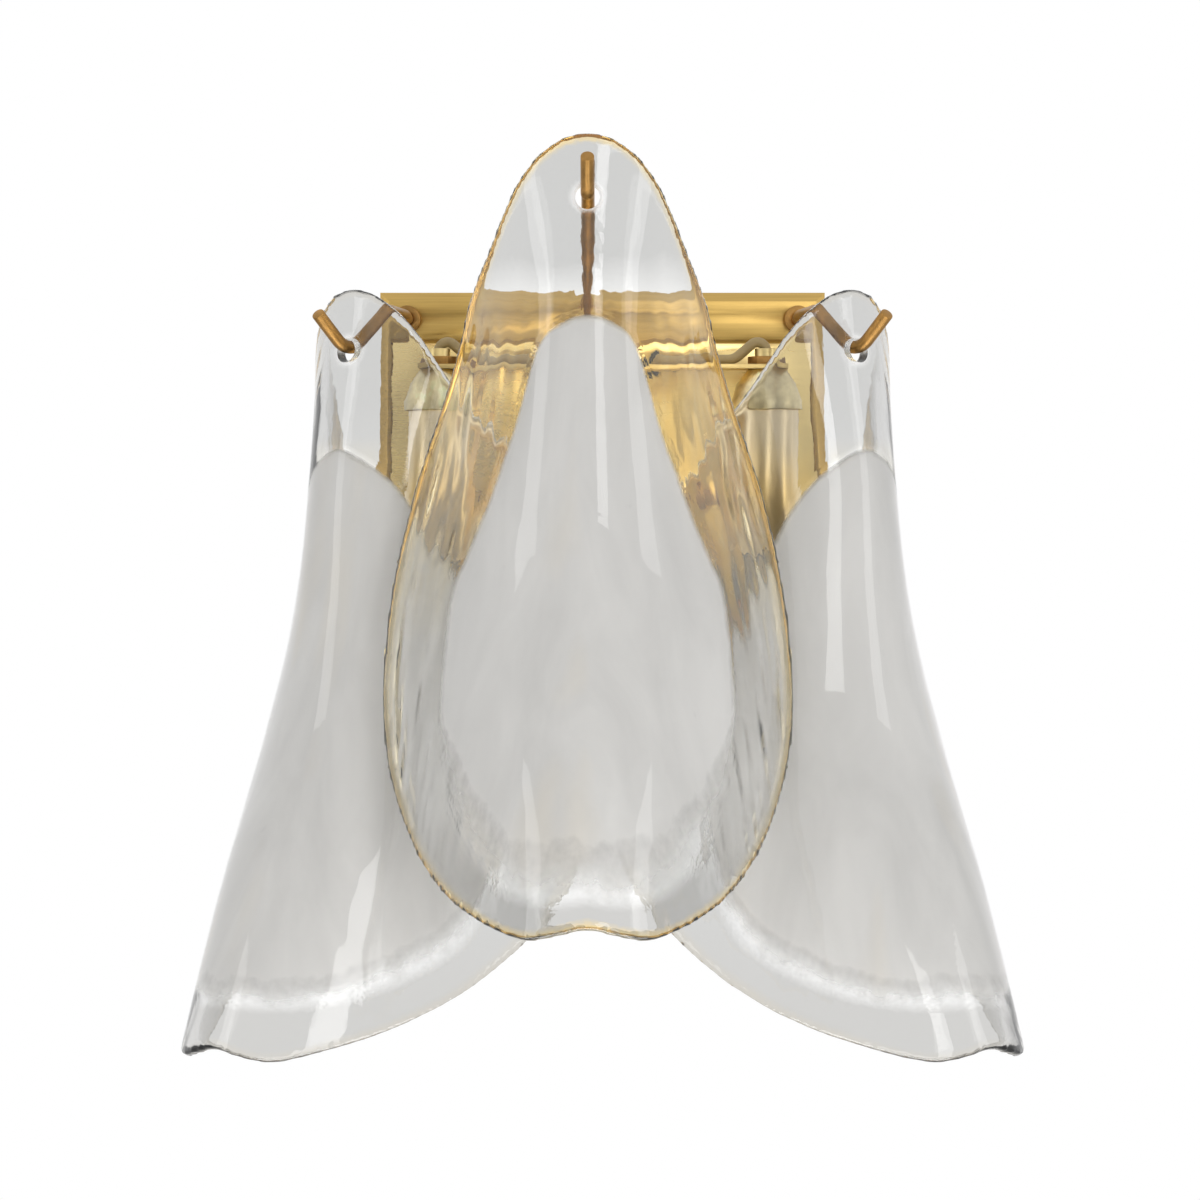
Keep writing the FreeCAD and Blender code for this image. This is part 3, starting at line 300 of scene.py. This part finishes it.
def brushed_metal(name, base, stroke, roughness=0.30, depth=0.00004, wear_and_sheen=0.25, cloud_scale=22.0):
    """Metal with fine strokes along the axis where stroke is small, cloudy tones of tarnish that on broad clouds
    are a painted sheen, and uneven polish.
    """
    finish = Finish(name, Metallic=1.0)
    lines = finish.noise(finish.place(stroke), 900.0, 3.0, 0.6)
    clouds = finish.noise(finish.place(), cloud_scale, 4.0, 0.5)
    spots = finish.noise(finish.place(), 140.0, 3.0, 0.7)
    dark, plain, light = tones(base, 1.0 - wear_and_sheen, 1.0, 1.0 + wear_and_sheen * 0.5)
    tarnish_and_sheen = finish.blend(finish.span(clouds, 0.35, 0.68), dark, plain)
    shaded = finish.blend(finish.span(lines, 0.3, 0.75, 0.0, 0.55), tarnish_and_sheen, light)
    finish.set(
        Base_Color=shaded,
        Roughness=finish.span(clouds + lines * 0.6 + spots * 0.3, 0.6, 1.3, roughness * 0.75, roughness * 1.35),
        Normal=finish.bump(lines, 0.5, depth),
    )
    return finish.material


def aged_metal(name, base, roughness=0.42):
    """Brown aged brass: mottled, darker in clouds, with small pits."""
    finish = Finish(name, Metallic=1.0)
    clouds = finish.noise(finish.place(), 60.0, 5.0, 0.65)
    pits = finish.noise(finish.place(), 900.0, 2.0, 0.5)
    dark, plain, light = tones(base, 0.55, 1.0, 1.7)
    mottled = finish.blend(finish.span(clouds, 0.3, 0.55), dark, plain)
    worn = finish.blend(finish.span(clouds, 0.56, 0.75), mottled, light)
    finish.set(
        Base_Color=worn,
        Roughness=finish.span(clouds + pits * 0.4, 0.4, 1.0, roughness * 0.7, roughness * 1.3),
        Normal=finish.bump(pits, 0.35, 0.00006),
    )
    return finish.material


def plain_metal(name, base, roughness=0.35):
    """Plated metal with faint blotches."""
    finish = Finish(name, Metallic=1.0)
    clouds = finish.noise(finish.place(), 120.0, 4.0, 0.6)
    dark, light = tones(base, 0.8, 1.12)
    finish.set(
        Base_Color=finish.blend(finish.span(clouds, 0.3, 0.7), dark, light),
        Roughness=finish.span(clouds, 0.3, 0.7, roughness * 0.8, roughness * 1.2),
        Normal=finish.bump(clouds, 0.2, 0.00005),
    )
    return finish.material


def moulded(name, base, roughness=0.45, grain=1400.0):
    """Moulded or fired material with a fine grain."""
    finish = Finish(name)
    fine = finish.noise(finish.place(), grain, 2.0, 0.5)
    clouds = finish.noise(finish.place(), 80.0, 3.0, 0.5)
    dark, light = tones(base, 0.86, 1.06)
    finish.set(
        Base_Color=finish.blend(finish.span(clouds, 0.3, 0.7), dark, light),
        Roughness=finish.span(fine + clouds, 0.7, 1.3, roughness * 0.8, roughness * 1.2),
        Normal=finish.bump(fine, 0.3, 0.00004),
    )
    return finish.material


def petal_glass(name, colours, wings, rim_reflection_share, wing_reflection_share):
    """Thick glass with soft waves: greyer at its top, foot and rim as painted shade, ground white at the hole,
    with brass tone painted as a reflection in a line on its edge and in patches high on the wings."""
    finish = Finish(name, IOR=1.48, Transmission_Weight=1.0)
    rim_gap, core_gap, ground, drop = (
        finish.measured(name) for name in ("rim_gap", "core_gap", "ground", "drop")
    )
    clouds = finish.noise(finish.place((1.0, 1.0, 0.35)), 28.0, 3.0, 0.5)
    soft = finish.noise(finish.place((1.0, 1.0, 0.5)), 60.0, 1.0, 0.4)
    scratches = finish.noise(finish.place((1.0, 1.0, 0.3)), 700.0, 2.0, 0.6)
    shades = ((0.09, colours.crown_glass), (0.17, wings), (0.80, wings), (0.93, colours.foot_glass))
    stops = [(place, tuple(shade)) for place, shade in shades]
    body = finish.add("ShaderNodeValToRGB", {"stops": stops}, {"Fac": drop + (clouds - 0.5) * 0.08})
    # Painted shade: the foot's grey tone is laid in cloudy patches and along the rim.
    shade = (*colours.foot_glass, 1.0)
    body = finish.blend(finish.span(clouds, 0.45, 0.75, 0.0, 0.15), body, shade)
    body = finish.blend(finish.span(rim_gap, 0.0, 0.012, 0.3, 0.0), body, shade)
    # Painted reflection: patches of brass tone high on the wings.
    patches = finish.noise(finish.place((1.0, 1.0, 0.3)), 48.0, 4.0, 0.6, 0.8)
    heights = finish.span(drop, 0.13, 0.21) * finish.span(drop, 0.42, 0.62, 1.0, 0.0)
    glow = heights * finish.span(patches, 0.36, 0.54) * wing_reflection_share
    body = finish.blend(glow, body, (*colours.glow, 1.0))
    smooth = finish.span(core_gap, -0.002, 0.004)
    body = finish.blend(smooth, body, (*colours.cased_glass, 1.0))
    # Painted reflection: a line of brass tone along the rim.
    line = finish.span(rim_gap + (clouds - 0.5) * 0.003, 0.0014, 0.0042, rim_reflection_share, 0.0)
    body = finish.blend(line, body, (*colours.gilt, 1.0))
    finish.set(
        Base_Color=finish.blend(ground, body, GROUND_GLASS),
        Roughness=finish.span(ground + scratches * 0.06, 0.03, 1.0, 0.012, 0.35),
        Normal=finish.bump(soft * (1.0 - smooth * 0.65) + scratches * 0.02, 0.35, 0.0010),
    )
    return finish.material


def milky_glass(name, base):
    """White cased core: cloudy, with long pale wisps, a few warm ones, and a ragged edge."""
    finish = Finish(name, IOR=1.3)
    drawn = finish.place((1.0, 1.0, 0.22))
    clouds = finish.noise(drawn, 38.0, 4.0, 0.55, 0.6)
    warm = finish.noise(drawn, 24.0, 2.0, 0.5, 0.3)
    wisps = finish.noise(finish.place((1.0, 1.0, 0.75)), 75.0, 5.0, 0.6)
    fade = finish.measured("fade")
    dark, light = tones(base, 0.94, 1.07)
    milk = finish.blend(finish.span(clouds, 0.32, 0.7), dark, light)
    finish.set(
        Base_Color=finish.blend(finish.span(warm, 0.6, 0.78, 0.0, 0.4), milk, WARM_MILK),
        Roughness=finish.span(clouds, 0.3, 0.7, 0.35, 0.5),
        Alpha=finish.span(fade + (wisps - 0.5) * 0.8, 0.1, 0.85),
    )
    return finish.material


def bulb_glass(name):
    finish = Finish(name, IOR=1.3, Transmission_Weight=1.0)
    clouds = finish.noise(finish.place(), 60.0)
    finish.set(Base_Color=(0.97, 0.97, 0.97, 1.0), Roughness=finish.span(clouds, 0.3, 0.7, 0.0, 0.04))
    return finish.material


# ---- modelling helpers


def deselect_all():
    if bpy.context.object and bpy.context.object.mode != "OBJECT":
        bpy.ops.object.mode_set(mode="OBJECT")
    bpy.ops.object.select_all(action="DESELECT")


def select_only(thing):
    deselect_all()
    thing.select_set(True)
    bpy.context.view_layer.objects.active = thing


def apply_modifier(thing, kind, **settings):
    select_only(thing)
    modifier = thing.modifiers.new(kind.title(), kind)
    for name, value in settings.items():
        setattr(modifier, name, value)
    bpy.ops.object.modifier_apply(modifier=modifier.name)


def in_edit_mode(thing, *steps):
    """Runs edit-mode operators on the whole mesh."""
    select_only(thing)
    bpy.ops.object.mode_set(mode="EDIT")
    bpy.ops.mesh.select_all(action="SELECT")
    for operator, settings in steps:
        operator(**settings)
    bpy.ops.object.mode_set(mode="OBJECT")


def finish_with(thing, material, body, slot_name, *nodes):
    """Gives a piece its material and body, and hides the nodes that it replaces. slot_name is not used."""
    thing.data.materials.clear()
    thing.data.materials.append(material)
    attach(thing, body)
    if nodes:
        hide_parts(*nodes)
    return thing


def body_of(node):
    bodies = frame["record"]["behaviour"]["bodies"]
    return next(body for body, members in bodies.items() if node in members)


def slot_of(node):
    return next(row["material_slot"] for row in frame["record"]["subparts"] if row["node"] == node)


def refine(node, material, edge=0.0004, smooth_degrees=35.0):
    """Takes a node's solid as it is, rounds its sharp edges and gives it its finish."""
    mesh = frame["nodes"][node].data.copy()
    mesh.name = f"{node}_mesh"
    thing = bpy.data.objects.new(f"{node}_finished", mesh)
    bpy.context.scene.collection.objects.link(thing)
    select_only(thing)
    bpy.ops.mesh.customdata_custom_splitnormals_clear()
    in_edit_mode(
        thing,
        (bpy.ops.mesh.remove_doubles, {"threshold": 1e-6}),
        (bpy.ops.mesh.dissolve_limited, {"angle_limit": math.radians(0.5)}),
    )
    sharp = math.radians(smooth_degrees)
    if edge > 0.0:
        apply_modifier(
            thing,
            "BEVEL",
            width=edge,
            segments=2,
            limit_method="ANGLE",
            angle_limit=sharp,
            harden_normals=False,
        )
    select_only(thing)
    bpy.ops.object.shade_smooth_by_angle(angle=sharp)
    return finish_with(thing, material, body_of(node), slot_of(node), node)


# ---- petals


def smooth_through(table, value):
    """The other columns of a table at a value of its first column, on a smooth curve through its rows."""
    last = len(table) - 2
    index = next((i for i in range(last + 1) if value <= table[i + 1][0]), last)
    before = table[max(index - 1, 0)]
    start = table[index]
    end = table[index + 1]
    after = table[min(index + 2, last + 1)]
    span = end[0] - start[0]
    share = (value - start[0]) / span

    def column(k):
        start_slope = (end[k] - before[k]) / (end[0] - before[0]) * span
        end_slope = (after[k] - start[k]) / (after[0] - start[0]) * span
        square = share * share
        cube = square * share
        return (
            (2 * cube - 3 * square + 1) * start[k]
            + (cube - 2 * square + share) * start_slope
            + (3 * square - 2 * cube) * end[k]
            + (cube - square) * end_slope
        )

    return [column(k) for k in range(1, len(start))]


def fold_point(sizes, across, drop):
    """A point of the glass's middle surface, its hook seat at the origin and its fold towards -Y."""
    out, deep = smooth_through(PETAL_LEVELS, drop)
    spread = sizes.half_width**2 / (sizes.fold_depth * deep)
    return Vector((across, across * across / spread - out * sizes.bottom_flare, -drop * sizes.below_hook))


def reach_table(edge, middle):
    """Angle from straight up, and distance, of an outline's points as seen from a point on its middle line."""
    rows = []
    steps = 6
    for i in range(len(edge) - 1):
        for j in range(steps + (i == len(edge) - 2)):
            before = edge[max(i - 1, 0)] if i > 0 else (-edge[1][0], edge[1][1])
            start = edge[i]
            end = edge[i + 1]
            after = edge[i + 2] if i + 2 < len(edge) else (-edge[-2][0], edge[-2][1])
            share = j / steps
            point = [
                0.5
                * (
                    2 * start[k]
                    + (end[k] - before[k]) * share
                    + (2 * before[k] - 5 * start[k] + 4 * end[k] - after[k]) * share**2
                    + (3 * start[k] - before[k] - 3 * end[k] + after[k]) * share**3
                )
                for k in (0, 1)
            ]
            rise = middle - point[1]
            rows.append((math.atan2(max(point[0], 0.0), rise), math.hypot(point[0], rise)))
    return rows


def reach_at(rows, angle):
    """The outline's distance at an angle from straight up."""
    for (low, near), (high, far) in zip(rows, rows[1:]):
        if angle <= high:
            break
    return near + (far - near) * (angle - low) / (high - low)


class Outline:
    """A leaf's outline, seen from a point on its middle line."""

    def __init__(self, edge):
        self.middle = (edge[0][1] + edge[-1][1]) / 2
        self.rows = reach_table(edge, self.middle)

    def gap(self, sizes, across, drop):
        """How far a spot of the flattened leaf is inside the outline, in metres; negative outside."""
        rise = self.middle - drop
        angle = math.atan2(abs(across), rise)
        scale = math.hypot(math.sin(angle) * sizes.half_width, math.cos(angle) * sizes.below_hook)
        return (reach_at(self.rows, angle) - math.hypot(across, rise)) * scale


def leaf_sheet(name, sizes, outline, grid):
    """A grid, spread to the outline of a leaf and folded along its middle; it remembers its flat places."""
    deselect_all()
    bpy.ops.mesh.primitive_grid_add(x_subdivisions=grid[0], y_subdivisions=grid[1], size=2.0)
    sheet = bpy.context.object
    sheet.name = name
    flat = sheet.data.attributes.new("flat", "FLOAT_VECTOR", "POINT")
    for vertex in sheet.data.vertices:
        a, b = vertex.co.x, vertex.co.y
        right = a * math.sqrt(max(1.0 - b * b / 2, 0.0))
        up = b * math.sqrt(max(1.0 - a * a / 2, 0.0))
        reach = reach_at(outline.rows, math.atan2(abs(right), up))
        across = right * reach
        drop = outline.middle - up * reach
        vertex.co = fold_point(sizes, across * sizes.half_width, drop)
        flat.data[vertex.index].vector = (across, drop, 0.0)
    return sheet


def ripple(thing, sizes, seed):
    """Moves the surface along its normals in soft waves, and on the wings in streaks drawn down the glass."""
    mesh = thing.data
    normals = [vertex.normal.copy() for vertex in mesh.vertices]
    shift = Vector((seed * 0.37, seed * 0.71, seed * 0.53))
    for vertex, normal in zip(mesh.vertices, normals):
        spot = vertex.co
        wing = min(abs(spot.x) / sizes.half_width, 1.0)
        broad = noise.noise(Vector((spot.x / 0.024, spot.y / 0.024, spot.z / 0.07)) + shift)
        drawn = noise.noise(Vector((spot.x / 0.007, spot.y / 0.007, spot.z / 0.035)) - shift)
        height = sizes.wave * (broad - 0.6) * (0.4 + 0.6 * wing) + sizes.streak * drawn * wing
        vertex.co = spot + normal * height
    mesh.update()


def petal_mesh(sizes):
    """One petal in its own place: a folded leaf, thickened, with rolled rims; its hole is drilled separately."""
    leaf = leaf_sheet("petal_blank", sizes, Outline(PETAL_EDGE), PETAL_GRID)
    thick = leaf.vertex_groups.new(name="thick")
    for vertex in leaf.data.vertices:
        thick.add([vertex.index], min(abs(vertex.co.x) / sizes.half_width, 1.0) ** 2, "REPLACE")
    in_edit_mode(leaf, (bpy.ops.mesh.normals_make_consistent, {"inside": False}))
    apply_modifier(
        leaf,
        "SOLIDIFY",
        thickness=sizes.rim_thick,
        offset=0.0,
        vertex_group="thick",
        thickness_vertex_group=sizes.ridge_thick / sizes.rim_thick,
        use_even_offset=True,
    )
    apply_modifier(leaf, "REMESH", mode="VOXEL", voxel_size=sizes.grain)
    apply_modifier(leaf, "SMOOTH", factor=0.5, iterations=12)
    return leaf


def drill(thing, sizes):
    """Drills the hanging hole and marks the glass round it as ground."""
    deselect_all()
    bpy.ops.mesh.primitive_cylinder_add(
        vertices=48,
        radius=sizes.hole / 2,
        depth=sizes.fold_depth,
        location=(0.0, 0.0, -sizes.hole_drop),
        rotation=(math.pi / 2, 0.0, 0.0),
    )
    bit = bpy.context.object
    apply_modifier(thing, "BOOLEAN", operation="DIFFERENCE", solver="EXACT", object=bit)
    bpy.data.objects.remove(bit)
    ground = thing.data.attributes.new("ground", "FLOAT", "POINT")
    inner = sizes.hole * 0.5
    outer = sizes.hole * 0.75
    for vertex in thing.data.vertices:
        away = math.hypot(vertex.co.x, vertex.co.z + sizes.hole_drop)
        ground.data[vertex.index].value = min(max((outer - away) / (outer - inner), 0.0), 1.0)


def measure_gaps(petal, sheet, sizes, core_outline):
    """Gives the glass its distance inside the rim and inside the milky core's outline, for its finish."""
    rim_outline = Outline(PETAL_EDGE)
    spots = kdtree.KDTree(len(sheet.data.vertices))
    gaps = []
    for vertex, flat in zip(sheet.data.vertices, sheet.data.attributes["flat"].data):
        across, drop, _ = flat.vector
        spots.insert(vertex.co, vertex.index)
        gaps.append((rim_outline.gap(sizes, across, drop), core_outline.gap(sizes, across, drop), drop))
    spots.balance()
    mesh = petal.data
    names = ("rim_gap", "core_gap", "drop")
    for name in names:
        mesh.attributes.new(name, "FLOAT", "POINT")
    columns = [mesh.attributes[name].data for name in names]
    for vertex in mesh.vertices:
        near = [(1 / (distance + 1e-5), gaps[index]) for _, index, distance in spots.find_n(vertex.co, 4)]
        total = sum(weight for weight, _ in near)
        for i, column in enumerate(columns):
            column[vertex.index].value = sum(weight * row[i] for weight, row in near) / total


def core_mesh(name, sizes, edge, bottom_edge):
    """A milky core: a thin folded leaf inside the glass, crisp at the sides and softer at the bottom."""
    outline = Outline(edge)
    core = leaf_sheet(name, sizes, outline, CORE_GRID)
    in_edit_mode(core, (bpy.ops.mesh.normals_make_consistent, {"inside": False}))
    fade = core.data.attributes.new("fade", "FLOAT", "POINT")
    for spot, flat in zip(fade.data, core.data.attributes["flat"].data):
        across, drop, _ = flat.vector
        low = min(max((drop - 0.72) / 0.15, 0.0), 1.0)
        width = sizes.crisp_edge + (bottom_edge - sizes.crisp_edge) * low
        spot.value = min(max(outline.gap(sizes, across, drop), 0.0) / width, 1.0)
    apply_modifier(core, "SOLIDIFY", thickness=sizes.core_thick, offset=0.0, use_even_offset=True)
    return core


def centre_of_mass(mesh):
    """Centre of a closed mesh's volume."""
    total = 0.0
    moment = Vector()
    mesh.calc_loop_triangles()
    for triangle in mesh.loop_triangles:
        a, b, c = (mesh.vertices[i].co for i in triangle.vertices)
        volume = a.dot(b.cross(c)) / 6
        total += volume
        moment += (a + b + c) * (volume / 4)
    return moment / total


def hang_matrix(joint, lean):
    """Leans a petal plumb below its hook, turns it to its hinge and moves it to the hook's seat."""
    axis = Vector(joint["axis"])
    turn = math.atan2(axis.y, axis.x)
    return Matrix.Translation(joint["pos_m"]) @ Matrix.Rotation(turn, 4, "Z") @ Matrix.Rotation(lean, 4, "X")


class PetalsOperator(bpy.types.Operator):
    """Make the three glass petals with their milky cores and hang them on the hooks"""

    bl_idname = "sconce.petals"
    bl_label = "Glass petals"

    def execute(self, context):
        sizes = context.scene.sconce_petals
        colours = context.scene.sconce_colours
        milk = milky_glass("milky_core", colours.milk)
        sheet = leaf_sheet("petal_sheet", sizes, Outline(PETAL_EDGE), PETAL_GRID)
        blank = petal_mesh(sizes)
        centre = centre_of_mass(blank.data)
        lean = math.atan2(-centre.y, -centre.z)
        # The two numbers after each glass's colour are its shares of painted rim reflection and painted wing
        # reflection.
        kinds = {
            "middle": (
                petal_glass("middle_petal_glass", colours, colours.clear_glass, 0.95, 0.75),
                CORE_EDGE,
                core_mesh("middle_core_blank", sizes, CORE_EDGE, sizes.wispy_edge),
            ),
            "side": (
                petal_glass("side_petal_glass", colours, colours.side_glass, 0.10, 0.45),
                SIDE_CORE_EDGE,
                core_mesh("side_core_blank", sizes, SIDE_CORE_EDGE, sizes.crisp_edge * 5),
            ),
        }
        swings = [joint for joint in frame["joints"] if joint["child"].startswith("petal_")]
        if len(swings) != 3:
            raise RuntimeError(f"the frame has {len(swings)} petal hinges, not 3")
        for seed, joint in enumerate(swings, start=1):
            body = joint["child"]
            place = hang_matrix(joint, lean)
            glass, core_edge, core_blank = kinds["middle" if body == "petal_centre" else "side"]
            petal = blank.copy()
            petal.data = blank.data.copy()
            petal.name = f"{body}_glass"
            context.scene.collection.objects.link(petal)
            ripple(petal, sizes, seed)
            drill(petal, sizes)
            measure_gaps(petal, sheet, sizes, Outline(core_edge))
            petal.data.transform(place)
            select_only(petal)
            bpy.ops.object.shade_smooth_by_angle(angle=SMOOTH_LIMIT)
            finish_with(petal, glass, body, "petal_glass", body)
            core = core_blank.copy()
            core.data = core_blank.data.copy()
            core.name = f"{body}_core"
            context.scene.collection.objects.link(core)
            core.data.transform(place)
            select_only(core)
            bpy.ops.object.shade_smooth()
            finish_with(core, milk, body, "petal_glass")
        for thing in (sheet, blank, kinds["middle"][2], kinds["side"][2]):
            bpy.data.objects.remove(thing)
        return {"FINISHED"}


# ---- metalwork


class PlateOperator(bpy.types.Operator):
    """Finish the wall tray, its cover and the nuts and collars on them"""

    bl_idname = "sconce.plate"
    bl_label = "Wall plate"

    def execute(self, context):
        colours = context.scene.sconce_colours
        # Painted sheen: broad dark and light clouds on the wall plate stand in for the reflections along it.
        satin = brushed_metal("satin_brass", colours.satin_brass, ALONG_X, 0.32, wear_and_sheen=0.4, cloud_scale=9.0)
        # Painted light: the cover's brass is lightened.
        bright = brushed_metal("cover_brass", colours.cover_brass, ALONG_X, 0.28, wear_and_sheen=0.12, cloud_scale=9.0)
        aged = aged_metal("aged_brass", colours.hook_brass)
        refine("back_tray", satin, 0.0007)
        refine("front_cover", bright, 0.0003)
        for node in ("stud_washers", "cap_nuts", "hook_collars"):
            refine(node, aged, 0.0003)
        return {"FINISHED"}


class HooksOperator(bpy.types.Operator):
    """Finish the three hooks"""

    bl_idname = "sconce.hooks"
    bl_label = "Hooks"

    def execute(self, context):
        aged = aged_metal("hook_brass", context.scene.sconce_colours.hook_brass)
        for node in ("hook_centre", "hook_left", "hook_right"):
            refine(node, aged, 0.0005)
        return {"FINISHED"}


class LampholdersOperator(bpy.types.Operator):
    """Finish the lamp bar and the two lampholders"""

    bl_idname = "sconce.lampholders"
    bl_label = "Lampholders"

    def execute(self, context):
        colours = context.scene.sconce_colours
        # Painted light: lightened dome colour.
        olive = aged_metal("olive_metal", colours.olive, 0.38)
        # Painted highlight: lightened tube brass.
        tube = brushed_metal("tube_brass", colours.tube_brass, ALONG_Z, 0.30)
        aged = aged_metal("fixing_brass", colours.hook_brass)
        bright = plain_metal("bright_brass", colours.bright_brass, 0.25)
        zinc = plain_metal("nut_zinc", colours.zinc)
        yellow = plain_metal("yellow_zinc", colours.yellow_zinc)
        fired = moulded("socket_ceramic", colours.ceramic, 0.25)
        refine("lamp_bar", brushed_metal("bar_brass", colours.bar_brass, ALONG_X, 0.34), 0.0003)
        refine("bar_screws", aged, 0.0003)
        refine("bar_nuts", zinc, 0.0002)
        for side in SIDES:
            refine(f"dome_cap_{side}", olive, 0.0004, 30.0)
            refine(f"cover_tube_{side}", tube, 0.0003)
            refine(f"nipple_{side}", yellow, 0.0002)
            refine(f"nipple_nut_{side}", aged, 0.0003)
            refine(f"socket_body_{side}", fired, 0.0003)
            refine(f"socket_shell_{side}", bright, 0.0)
            refine(f"socket_contact_{side}", bright, 0.0)
        return {"FINISHED"}


class LampsOperator(bpy.types.Operator):
    """Finish the two lamps"""

    bl_idname = "sconce.lamps"
    bl_label = "Lamps"

    def execute(self, context):
        colours = context.scene.sconce_colours
        cap = plain_metal("lamp_cap_metal", colours.cap_metal, 0.28)
        glass = bulb_glass("bulb_glass")
        phosphor = moulded("phosphor", colours.phosphor, 0.6)
        for side in SIDES:
            refine(f"lamp_cap_{side}", cap, 0.0)
            refine(f"lamp_button_{side}", cap, 0.0)
            refine(f"bulb_{side}", glass, 0.0, 50.0)
            refine(f"bulb_stem_{side}", glass, 0.0)
            refine(f"filaments_{side}", phosphor, 0.0)
        return {"FINISHED"}


class WiringOperator(bpy.types.Operator):
    """Finish the steel plate and the wiring behind the cover"""

    bl_idname = "sconce.wiring"
    bl_label = "Wall fixing and wiring"

    def execute(self, context):
        colours = context.scene.sconce_colours
        zinc = plain_metal("zinc_steel", colours.zinc)
        bright = plain_metal("terminal_brass", colours.bright_brass, 0.3)
        rubber = moulded("black_rubber", colours.rubber, 0.6)
        plastic = moulded("white_plastic", colours.plastic, 0.4)
        sleeve = moulded("clear_sleeve", colours.sleeve, 0.5)
        for node in ("wall_plate", "wall_studs", "hook_nuts"):
            refine(node, zinc, 0.0002)
        for node in ("cable_bush", "lead_grommets"):
            refine(node, rubber, 0.0003)
        refine("terminal_block", plastic, 0.0004)
        refine("terminal_clamps", bright, 0.0)
        refine("earth_screw", bright, 0.0002)
        for side in SIDES:
            refine(f"lead_{side}", sleeve, 0.0)
        return {"FINISHED"}


# ---- stage


def add_lamp(name, place, target, width, height, power):
    """A rectangular soft lamp that faces a point."""
    light = bpy.data.lights.new(name, "AREA")
    light.shape = "RECTANGLE"
    light.size = width
    light.size_y = height
    light.energy = power
    lamp = bpy.data.objects.new(name, light)
    lamp.location = place
    lamp.rotation_euler = (Vector(target) - Vector(place)).to_track_quat("-Z", "Y").to_euler()
    bpy.context.scene.collection.objects.link(lamp)


def white_world(level):
    """White where the camera, metal and glass look, and a plain level as a light."""
    world = bpy.data.worlds.new("studio")
    bpy.context.scene.world = world
    world.use_nodes = True
    tree = world.node_tree
    tree.nodes.clear()
    ray = tree.nodes.new("ShaderNodeLightPath")
    seen = tree.nodes.new("ShaderNodeMath")
    seen.operation = "MAXIMUM"
    mirrored = tree.nodes.new("ShaderNodeMath")
    mirrored.operation = "MAXIMUM"
    tree.links.new(ray.outputs["Is Glossy Ray"], mirrored.inputs[0])
    tree.links.new(ray.outputs["Is Transmission Ray"], mirrored.inputs[1])
    tree.links.new(ray.outputs["Is Camera Ray"], seen.inputs[0])
    tree.links.new(mirrored.outputs[0], seen.inputs[1])
    lit = tree.nodes.new("ShaderNodeBackground")
    lit.inputs["Color"].default_value = (1.0, 1.0, 1.0, 1.0)
    lit.inputs["Strength"].default_value = level
    white = tree.nodes.new("ShaderNodeBackground")
    white.inputs["Color"].default_value = (1.0, 1.0, 1.0, 1.0)
    mix = tree.nodes.new("ShaderNodeMixShader")
    tree.links.new(seen.outputs[0], mix.inputs[0])
    tree.links.new(lit.outputs[0], mix.inputs[1])
    tree.links.new(white.outputs[0], mix.inputs[2])
    output = tree.nodes.new("ShaderNodeOutputWorld")
    tree.links.new(mix.outputs[0], output.inputs["Surface"])


class StageOperator(bpy.types.Operator):
    """Set up the pale floor, the soft lamps, the white surroundings and the camera"""

    bl_idname = "sconce.stage"
    bl_label = "Stage"

    def execute(self, context):
        stage = context.scene.sconce_stage
        deselect_all()
        bpy.ops.mesh.primitive_circle_add(
            vertices=96, radius=stage.floor_radius, fill_type="NGON", location=(0.0, 0.0, -stage.floor_drop)
        )
        floor = context.object
        floor.name = "studio_floor"
        floor.data.materials.append(moulded("floor_pale", stage.floor_tone, 0.8, 60.0))
        white_world(stage.fill_level)
        for lamp in LAMPS:
            add_lamp(*lamp)
        camera_data = bpy.data.cameras.new("camera")
        camera_data.sensor_width = 36.0
        camera_data.lens = camera_data.sensor_width * stage.frame_focal
        camera_data.shift_x = stage.frame_shift
        camera = bpy.data.objects.new("camera", camera_data)
        camera.location = (0.0, -stage.camera_distance, -stage.camera_drop)
        camera.rotation_euler = (math.pi / 2, 0.0, 0.0)
        context.scene.collection.objects.link(camera)
        context.scene.camera = camera
        context.scene.view_settings.view_transform = "Standard"
        return {"FINISHED"}


# ---- panel and registration

OPERATORS = (
    PlateOperator,
    HooksOperator,
    LampholdersOperator,
    LampsOperator,
    WiringOperator,
    PetalsOperator,
    StageOperator,
)


class SconcePanel(bpy.types.Panel):
    """Lists the sconce's pieces and its main sizes"""

    bl_idname = "VIEW3D_PT_sconce"
    bl_label = "Wall sconce"
    bl_space_type = "VIEW_3D"
    bl_region_type = "UI"
    bl_category = "Sconce"

    def draw(self, context):
        for operator in OPERATORS:
            self.layout.operator(operator.bl_idname)
        for group in (context.scene.sconce_petals, context.scene.sconce_colours, context.scene.sconce_stage):
            box = self.layout.box()
            for name in group.bl_rna.properties.keys():
                if name not in ("rna_type", "name"):
                    box.prop(group, name)


CLASSES = (PetalSizes, FinishColours, StageSettings, *OPERATORS, SconcePanel)


def register():
    for cls in CLASSES:
        bpy.utils.register_class(cls)
    bpy.types.Scene.sconce_petals = bpy.props.PointerProperty(type=PetalSizes)
    bpy.types.Scene.sconce_colours = bpy.props.PointerProperty(type=FinishColours)
    bpy.types.Scene.sconce_stage = bpy.props.PointerProperty(type=StageSettings)


def unregister():
    del bpy.types.Scene.sconce_stage
    del bpy.types.Scene.sconce_colours
    del bpy.types.Scene.sconce_petals
    for cls in reversed(CLASSES):
        bpy.utils.unregister_class(cls)


def main():
    register()
    bpy.ops.sconce.plate()
    bpy.ops.sconce.hooks()
    bpy.ops.sconce.lampholders()
    bpy.ops.sconce.lamps()
    bpy.ops.sconce.wiring()
    bpy.ops.sconce.petals()
    bpy.ops.sconce.stage()


if __name__ == "__main__":
    main()
